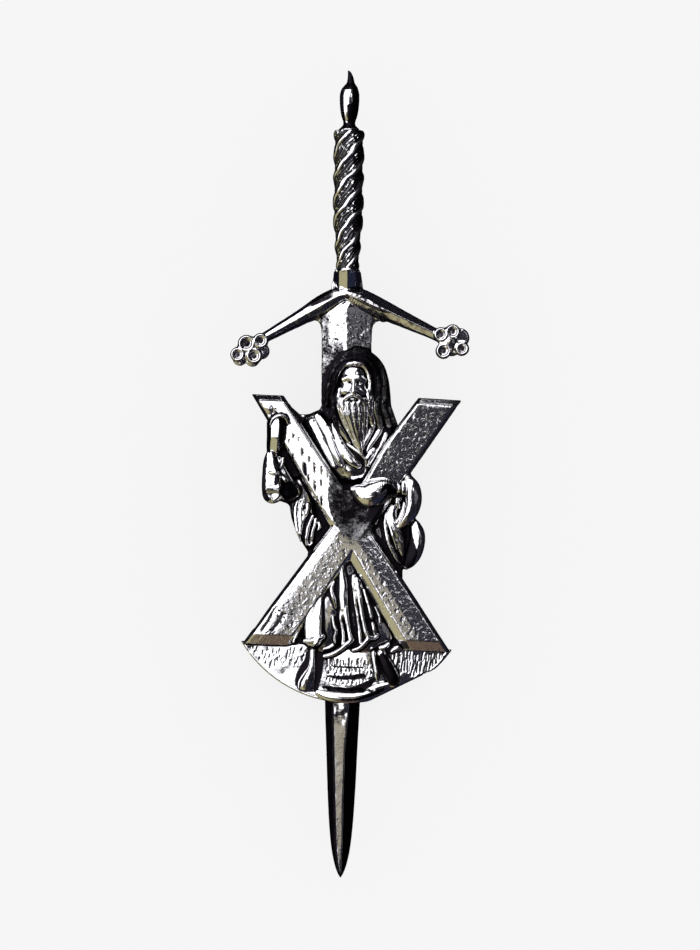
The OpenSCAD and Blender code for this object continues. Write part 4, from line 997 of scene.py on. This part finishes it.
def make_ground():
    clay = Clay([-13.2, -0.3, -0.3], [13.2, 8.4, 3.2], 0.08)
    X, Y = clay.X, clay.Y
    shape = clay.d.shape[:2]
    r = ((CROSS_LOW_W / 2) ** 2 + GROUND_H ** 2) / (2 * GROUND_H)
    circle = np.hypot(X, Y - r) - r
    # At the right its edge runs straighter than the arc
    flat = inside_of(np.array([4.05, 0.85]), np.array([10.69, 4.40]), X, Y)
    outline = soft_max(np.maximum(circle, Y - GROUND_H - 0.3), flat, 0.15)
    rim = np.clip(-outline, 0, 3)
    left_part = step(-X, -3.0, 1.0)
    height = GROUND_T - 0.1 - 0.045 * np.clip(-X, 0, 11) - 0.07 * np.maximum(X - 3, 0)
    height = np.minimum(height - 0.08 * left_part * np.maximum(Y - 0.5, 0), GROUND_T)
    clay.slab(outline, height, 0.02, 0.25)
    clay.stroke(rows_mm(LIP), 0.1, 0.6)
    clay.d = np.maximum(clay.d, outline[:, :, None] * 0.98).astype(np.float32)
    # Grass: short engraved strokes, fanned out at both sides and in rows between the feet
    lines, bold = [], []

    def blade_of_grass(x, y, length, lean, into):
        into.append([(x / FIG_H, y / FIG_H), ((x + lean * length * 0.4) / FIG_H, (y + length * 0.5) / FIG_H),
                     ((x + lean * length) / FIG_H, (y + length) / FIG_H)])

    for share in np.arange(0.3, 0.97, 0.011):
        x = -share * CROSS_LOW_W / 2
        base = r - math.sqrt(r * r - x * x)
        tall = min(GROUND_H - base - 0.5, 3.2)
        if tall > 0.4:
            l = rng.uniform(0.3, 0.8)
            y = GROUND_H - 0.2 - rng.uniform(0, max(0.1, 0.6 * tall)) - l
            blade_of_grass(x, y, l, 0.1 + rng.uniform(-.15, .15), bold if rng.uniform() < 0.14 else lines)
    for share in np.arange(0.42, 0.96, 0.03):
        x = share * CROSS_LOW_W / 2
        base = r - math.sqrt(r * r - x * x)
        tall = min(GROUND_H - base - 0.75, 2.7)
        if tall > 0.4:
            y = GROUND_H - 0.15 - tall + rng.uniform(-.3, .3)
            blade_of_grass(x, y, tall * 0.5, 0.1 + rng.uniform(-.15, .15), bold)
            blade_of_grass(x + 0.08 * tall + rng.uniform(-.1, .1), y + tall * 0.55, tall * 0.4,
                           0.1 + rng.uniform(-.15, .15), bold if rng.uniform() < 0.5 else lines)
            blade_of_grass(x + 0.2, y + 0.1, tall * rng.uniform(0.3, 0.8), 0.15, lines)
    for y, low, high, count, l in ((4.45, -2.3, 3.6, 30, 0.8), (3.95, -2.2, 3.7, 24, 0.4), (3.3, -2.2, 3.2, 20, 0.4),
                                   (2.55, -2.1, 2.6, 15, 0.45)):
        for x in np.linspace(low, high, count):
            y0 = y + 0.035 * abs(x - 0.6) ** 1.6 + rng.uniform(-.25, .25)
            blade_of_grass(x + rng.uniform(-.12, .12), y0, l * rng.uniform(0.4, 1.2), rng.uniform(-.2, .2),
                           bold if rng.uniform() < 0.55 else lines)
    depth = scored(clay, lines, 0.07, 0.055) + scored(clay, bold, 0.14, 0.07)
    # A darker hollow between the lowest row and the lip, and shallow ones between the rows
    for y, deep, wide, low, high in ((1.55, 0.25, 0.24, -2.3, 3.9), (3.85, 0.07, 0.08, -1.9, 2.0),
                                     (2.9, 0.08, 0.1, -1.2, 3.6)):
        path = y + 0.035 * np.abs(X - 0.6) ** 1.6
        hollow = deep * np.exp(-((Y - path) / wide) ** 2) * step(X, low, low + 0.6) * step(-X, -high, -high + 0.6)
        depth = np.maximum(depth, hollow * (0.6 + 0.4 * grain(shape, 2)))
    cuts = np.clip(depth / 0.14, 0, 1) * (0.75 + 0.25 * step(X, -3, 0))
    depth = depth + (grain(shape, 1.5) * 0.004 + grain(shape, 6) * 0.02) * step(rim, 0.4, 1.4)
    clay.press(depth)
    piece = cast(clay, "ground", 0.55, smooth=0.4)
    places = figure_places(piece)
    # Engraved lines stay dark; the table adds painted shade beside the feet and on the right, and darker bands along
    # the lip and between the rows.
    patina_and_painted_shade["ground"] = on_clay(clay, np.maximum(0.9 * cuts, dark_patches(clay, GROUND_SHADE_AND_HOLLOWS)), places)
    attribute(piece, "grainy", on_clay(clay, 0.05 + 0.1 * step(X, 1, 4), places))


for make in (make_guard, make_blade, make_grip, make_pommel, make_robe, make_hands, make_head, make_cross,
             make_ground):
    make()

# Wear and painted shade ------------------------------------------------------------------------------
# The heights of all pieces together tell ridges, which are polished, from hollows, which stay dark.
CELL = 0.1
GRID = (330, 1020)
GRID_CORNER = np.array([AXIS_X - 16.5, -51.0])
top = np.zeros(GRID)
for piece, points in made:
    mm = points * 1000
    ij = ((mm[:, :2] - GRID_CORNER) / CELL).astype(int)
    np.maximum.at(top, (ij[:, 0], ij[:, 1]), mm[:, 2] - BACK)
grown = top.copy()
for dx, dy in product((-1, 0, 1), repeat=2):
    grown = np.maximum(grown, np.roll(top, (dx, dy), (0, 1)))
top = np.where(top > 0.05, top, grown)
covered = (top > 0.05).astype(float)


def local_mean(sigma):
    return blur(top * covered, sigma) / np.maximum(blur(covered, sigma), 1e-3)


mean_small, mean_mid, mean_wide = local_mean(2.2), local_mean(5), local_mean(12)


def sample(image, mm):
    """A grid's image at places, blended between its cells."""
    p = (mm[:, :2] - GRID_CORNER) / CELL - 0.5
    i = np.clip(p.astype(int), 0, np.array(GRID) - 2)
    f = np.clip(p - i, 0, 1)
    a = image[i[:, 0], i[:, 1]] * (1 - f[:, 0]) + image[i[:, 0] + 1, i[:, 1]] * f[:, 0]
    b = image[i[:, 0], i[:, 1] + 1] * (1 - f[:, 0]) + image[i[:, 0] + 1, i[:, 1] + 1] * f[:, 0]
    return a * (1 - f[:, 1]) + b * f[:, 1]


for piece, points in made:
    if "wear_and_painted_light" in piece.data.attributes:
        continue
    mm = corners_of(piece) * 1000
    z = mm[:, 2] - BACK
    near = z - sample(mean_small, mm)
    mid = z - sample(mean_mid, mm)
    wide = z - sample(mean_wide, mm)
    if piece.name == "sword_guard":
        value = step(near, -0.34, -0.1) * 0.7 + step(mid, -0.6, -0.1) * 0.3
        # The blade stays bright beside the high head
        beside = step(AXIS_X - mm[:, 0], 1.4, 2.0) * step(mm[:, 1], 10.5, 12.5)
        value = np.maximum(value, 0.6 * beside)
    elif piece.name in ("ground", "diagonal_cross", "sword_blade"):
        value = step(near, -0.3, -0.05) * 0.8 + step(mid, -0.6, 0) * 0.2
    else:
        value = step(near, -0.16, 0.05) * 0.6 + step(mid, -0.45, 0.1) * 0.3 + step(wide, -1.0, 0.2) * 0.1
    # Dark patches from the tables, partly patina and partly painted shade, darken the value further.
    if piece.name in patina_and_painted_shade:
        value = value * (1 - patina_and_painted_shade[piece.name])
    attribute(piece, "wear_and_painted_light", value)

for piece, points in made:
    if "grainy" not in piece.data.attributes:
        attribute(piece, "grainy", np.full(len(piece.data.vertices), 0.1))

# Materials ------------------------------------------------------------------------------------------

class Wire:
    """Short calls for shader nodes."""

    def __init__(self, tree):
        self.tree = tree

    def node(self, kind, **inputs):
        n = self.tree.nodes.new(kind)
        for key, value in inputs.items():
            if hasattr(n, key):
                setattr(n, key, value)
        return n

    def put(self, socket, value):
        if isinstance(value, bpy.types.NodeSocket):
            self.tree.links.new(value, socket)
        else:
            socket.default_value = value

    def math(self, operation, a, b=0.0, clamp=False):
        n = self.node("ShaderNodeMath", operation=operation, use_clamp=clamp)
        self.put(n.inputs[0], a)
        self.put(n.inputs[1], b)
        return n.outputs[0]

    def product(self, *values):
        total = values[0]
        for value in values[1:]:
            total = self.math("MULTIPLY", total, value)
        return total

    def total(self, *values):
        total = values[0]
        for value in values[1:]:
            total = self.math("ADD", total, value)
        return total

    def smooth(self, value, low, high, to_low=0.0, to_high=1.0):
        n = self.node("ShaderNodeMapRange", interpolation_type="SMOOTHSTEP")
        self.put(n.inputs["Value"], value)
        for name, v in (("From Min", low), ("From Max", high), ("To Min", to_low), ("To Max", to_high)):
            self.put(n.inputs[name], v)
        return n.outputs["Result"]

    def mix(self, share, a, b):
        n = self.node("ShaderNodeMix", data_type="RGBA")
        self.put(n.inputs[0], share)
        self.put(n.inputs[6], a)
        self.put(n.inputs[7], b)
        return n.outputs[2]

    def noise(self, scale, detail, roughness=0.5):
        n = self.node("ShaderNodeTexNoise")
        self.put(n.inputs["Vector"], self.node("ShaderNodeTexCoord").outputs["Object"])
        for key, value in (("Scale", scale), ("Detail", detail), ("Roughness", roughness)):
            n.inputs[key].default_value = value
        return n.outputs[0]

    def bump(self, **inputs):
        n = self.node("ShaderNodeBump")
        for key, value in inputs.items():
            self.put(n.inputs[key], value)
        return n.outputs[0]

    def along(self, vector, x, y, z):
        """How far a direction points along another one: the cosine between them."""
        n = self.node("ShaderNodeVectorMath", operation="DOT_PRODUCT")
        self.put(n.inputs[0], vector)
        n.inputs[1].default_value = (x, y, z)
        return n.outputs["Value"]


def principled(name, **inputs):
    """A material with one surface shader. An input's name has _ for its spaces."""
    material = bpy.data.materials.new(name)
    material.use_nodes = True
    material.node_tree.nodes.clear()
    w = Wire(material.node_tree)
    body = w.node("ShaderNodeBsdfPrincipled")
    w.put(w.node("ShaderNodeOutputMaterial").inputs["Surface"], body.outputs[0])
    for key, value in inputs.items():
        body.inputs[key.replace("_", " ")].default_value = value
    return material, w, body.inputs


def cast_metal(bright=(0.88, 0.87, 0.88, 1), dark=(0.010, 0.008, 0.011, 1), shine=0.11, dull=0.4, low=0.3, high=0.6,
               speckle=0.3, bump=0.16):
    material, w, surface = principled("antique_pewter", Metallic=1.0)
    wear_and_painted_light = w.node("ShaderNodeAttribute", attribute_name="wear_and_painted_light").outputs["Fac"]
    grainy = w.node("ShaderNodeAttribute", attribute_name="grainy").outputs["Fac"]
    coarse = w.math("SUBTRACT", w.noise(900, 3, 0.6), 0.5)
    fine = w.math("SUBTRACT", w.noise(3800, 2, 0.6), 0.5)
    mottled = w.total(w.product(coarse, speckle), w.product(fine, speckle * 0.8))
    mottled = w.product(mottled, w.total(w.product(grainy, 0.8), 0.75))
    pits = w.noise(2300, 1.5, 0.6)
    dark_pits = w.product(w.smooth(pits, 0.3, 0.44, 1.0, 0.0), grainy, -0.75)
    # Dark and bright metal are mixed by wear and patina, and also by the painted highlight and shade that the
    # attribute carries.
    polish_and_painted_light = w.smooth(w.total(wear_and_painted_light, mottled, dark_pits), low, high)
    w.put(surface["Base Color"], w.mix(polish_and_painted_light, dark, bright))
    w.put(surface["Roughness"], w.total(w.smooth(polish_and_painted_light, 0, 1, dull, shine), w.product(grainy, 0.1)))
    grit = w.bump(Distance=0.00005, Strength=w.math("MULTIPLY", grainy, 0.6, clamp=True),
                  Height=w.smooth(pits, 0.5, 0.72))
    w.put(surface["Normal"], w.bump(Distance=0.00004, Strength=bump, Height=w.total(coarse, w.product(fine, 0.4)),
                                    Normal=grit))
    return material


pewter = cast_metal()
steel, w, surface = principled("plated_steel", Base_Color=(0.62, 0.62, 0.63, 1), Metallic=1.0)
w.put(surface["Roughness"], w.smooth(w.noise(1500, 3), 0.3, 0.7, 0.22, 0.36))

for piece, points in made:
    piece.data.materials.clear()
    piece.data.materials.append(pewter)
    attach(piece, "root")
    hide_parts("casting")

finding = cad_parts["pin_finding"]
for slot in finding.material_slots:
    slot.material = steel
if not finding.material_slots:
    finding.data.materials.append(steel)

# Stage ------------------------------------------------------------------------------------------------
floor_mesh = bpy.data.meshes.new("floor")
floor_mesh.from_pydata([(-1.5, -1.5, 0), (1.5, -1.5, 0), (1.5, 1.5, 0), (-1.5, 1.5, 0)], [], [(0, 1, 2, 3)])
floor = bpy.data.objects.new("floor", floor_mesh)
bpy.context.scene.collection.objects.link(floor)
floor.location.z = -0.0002
floor.visible_glossy = False
paper = principled("paper", Base_Color=(0.1, 0.1, 0.1, 1), Roughness=1.0, Specular_IOR_Level=0.0,
                   Emission_Color=(1, 1, 1, 1), Emission_Strength=0.82)[0]
floor_mesh.materials.append(paper)

bpy.context.scene.view_settings.view_transform = "Standard"
world = bpy.data.worlds.new("studio")
bpy.context.scene.world = world
world.use_nodes = True
world.node_tree.nodes.clear()
w = Wire(world.node_tree)
direction = w.node("ShaderNodeTexCoord").outputs["Generated"]


def sin(degrees):
    return math.sin(math.radians(degrees))


def cos(degrees):
    return math.cos(math.radians(degrees))


def scaled(share, colour):
    return [w.product(share, c) for c in colour]


def lobe(azimuth, elevation, inner, outer, colour):
    """A soft round patch of light. Azimuth from +X towards +Y, all in degrees."""
    toward = w.along(direction, cos(elevation) * cos(azimuth), cos(elevation) * sin(azimuth), sin(elevation))
    return scaled(w.smooth(toward, cos(outer), cos(inner)), colour)


def wall(azimuth, half, low, high, soft, colour):
    """A soft-edged window in the dark room: half its width round an azimuth, from one elevation to another."""
    z = w.along(direction, 0, 0, 1)
    flat = w.math("SQRT", w.math("MAXIMUM", w.math("SUBTRACT", 1.0, w.product(z, z)), 0.0001))
    toward = w.math("DIVIDE", w.along(direction, cos(azimuth), sin(azimuth), 0), flat)
    across = w.smooth(toward, cos(half + soft), cos(max(half - soft, 0)))
    over = w.smooth(z, sin(low - soft), sin(low + soft))
    under = w.smooth(z, sin(high - soft), sin(min(high + soft, 89)), 1.0, 0.0)
    return scaled(w.product(across, over, under), colour)


def tent(azimuth, past, soft, low, low_soft, colour):
    """A big sheet of light on one side of the zenith, from a low elevation up to a few degrees from the zenith."""
    toward = w.along(direction, cos(azimuth), sin(azimuth), 0)
    share = w.smooth(toward, sin(past - soft), sin(past + soft))
    over = w.smooth(w.along(direction, 0, 0, 1), sin(low - low_soft), sin(low + low_soft))
    # It ends at its two sides
    ends = [w.smooth(w.along(direction, cos(a), sin(a), 0), -0.02, 0.06) for a in (azimuth + 30, azimuth - 16)]
    return scaled(w.product(share, over, *ends), colour)


# What the metal reflects
parts = [
    tent(128, 8, 2.5, 20, 6, (2.3, 2.3, 2.4)),
    lobe(215, 74, 6, 10, (1.9, 1.9, 2.0)),
    wall(228, 28, -16, 44, 6, (0.42, 0.39, 0.22)),
    wall(270, 12, -12, 26, 6, (0.13, 0.085, 0.055)),
    lobe(267, 84.3, 2.2, 5.2, (0.44, 0.4, 0.29)),
    wall(250, 24, 44, 60, 6, (0.16, 0.14, 0.08)),
    lobe(0, 52, 8, 14, (0.13, 0.13, 0.14)),
    lobe(35, 66, 5, 8, (1.6, 1.6, 1.7)),
    lobe(340, 79, 9, 17, (0.003, 0.0045, 0.012)),
    wall(305, 20, -10, 40, 8, (0.004, 0.008, 0.022))]
join = w.node("ShaderNodeCombineColor")
for socket, base, channel in zip(join.inputs, (0.0045, 0.0036, 0.0075), zip(*parts)):
    w.put(socket, w.total(base, *channel))
path = w.node("ShaderNodeLightPath")
reflected = w.node("ShaderNodeBackground")
w.put(reflected.inputs["Color"], join.outputs[0])
plain = w.node("ShaderNodeBackground")
plain.inputs["Color"].default_value = (1.0, 1.0, 1.0, 1)
plain.inputs["Strength"].default_value = 1.03
blend = w.node("ShaderNodeMixShader")
w.put(blend.inputs[0], path.outputs["Is Glossy Ray"])
w.put(blend.inputs[1], plain.outputs[0])
w.put(blend.inputs[2], reflected.outputs[0])
w.put(w.node("ShaderNodeOutputWorld").inputs["Surface"], blend.outputs[0])

# Camera: straight above, turned a little as in the photo. VIEW is the picture's height, in metres, at the
# relief's height.
LENS, SENSOR, VIEW, RELIEF_Z = 150, 36, 0.1174, 0.009
camera_data = bpy.data.cameras.new("camera")
camera_data.lens = LENS
camera_data.sensor_width = SENSOR
camera_data.clip_start = 0.01
camera_data.clip_end = 10
camera = bpy.data.objects.new("camera", camera_data)
bpy.context.scene.collection.objects.link(camera)
camera.location = (0.00028, 0.0, RELIEF_Z + VIEW * LENS / SENSOR)
camera.rotation_euler = (0, 0, math.radians(0.68))
bpy.context.scene.camera = camera

print("triangles", {p.name: sum(len(f.vertices) - 2 for f in p.data.polygons) for p, _ in made})
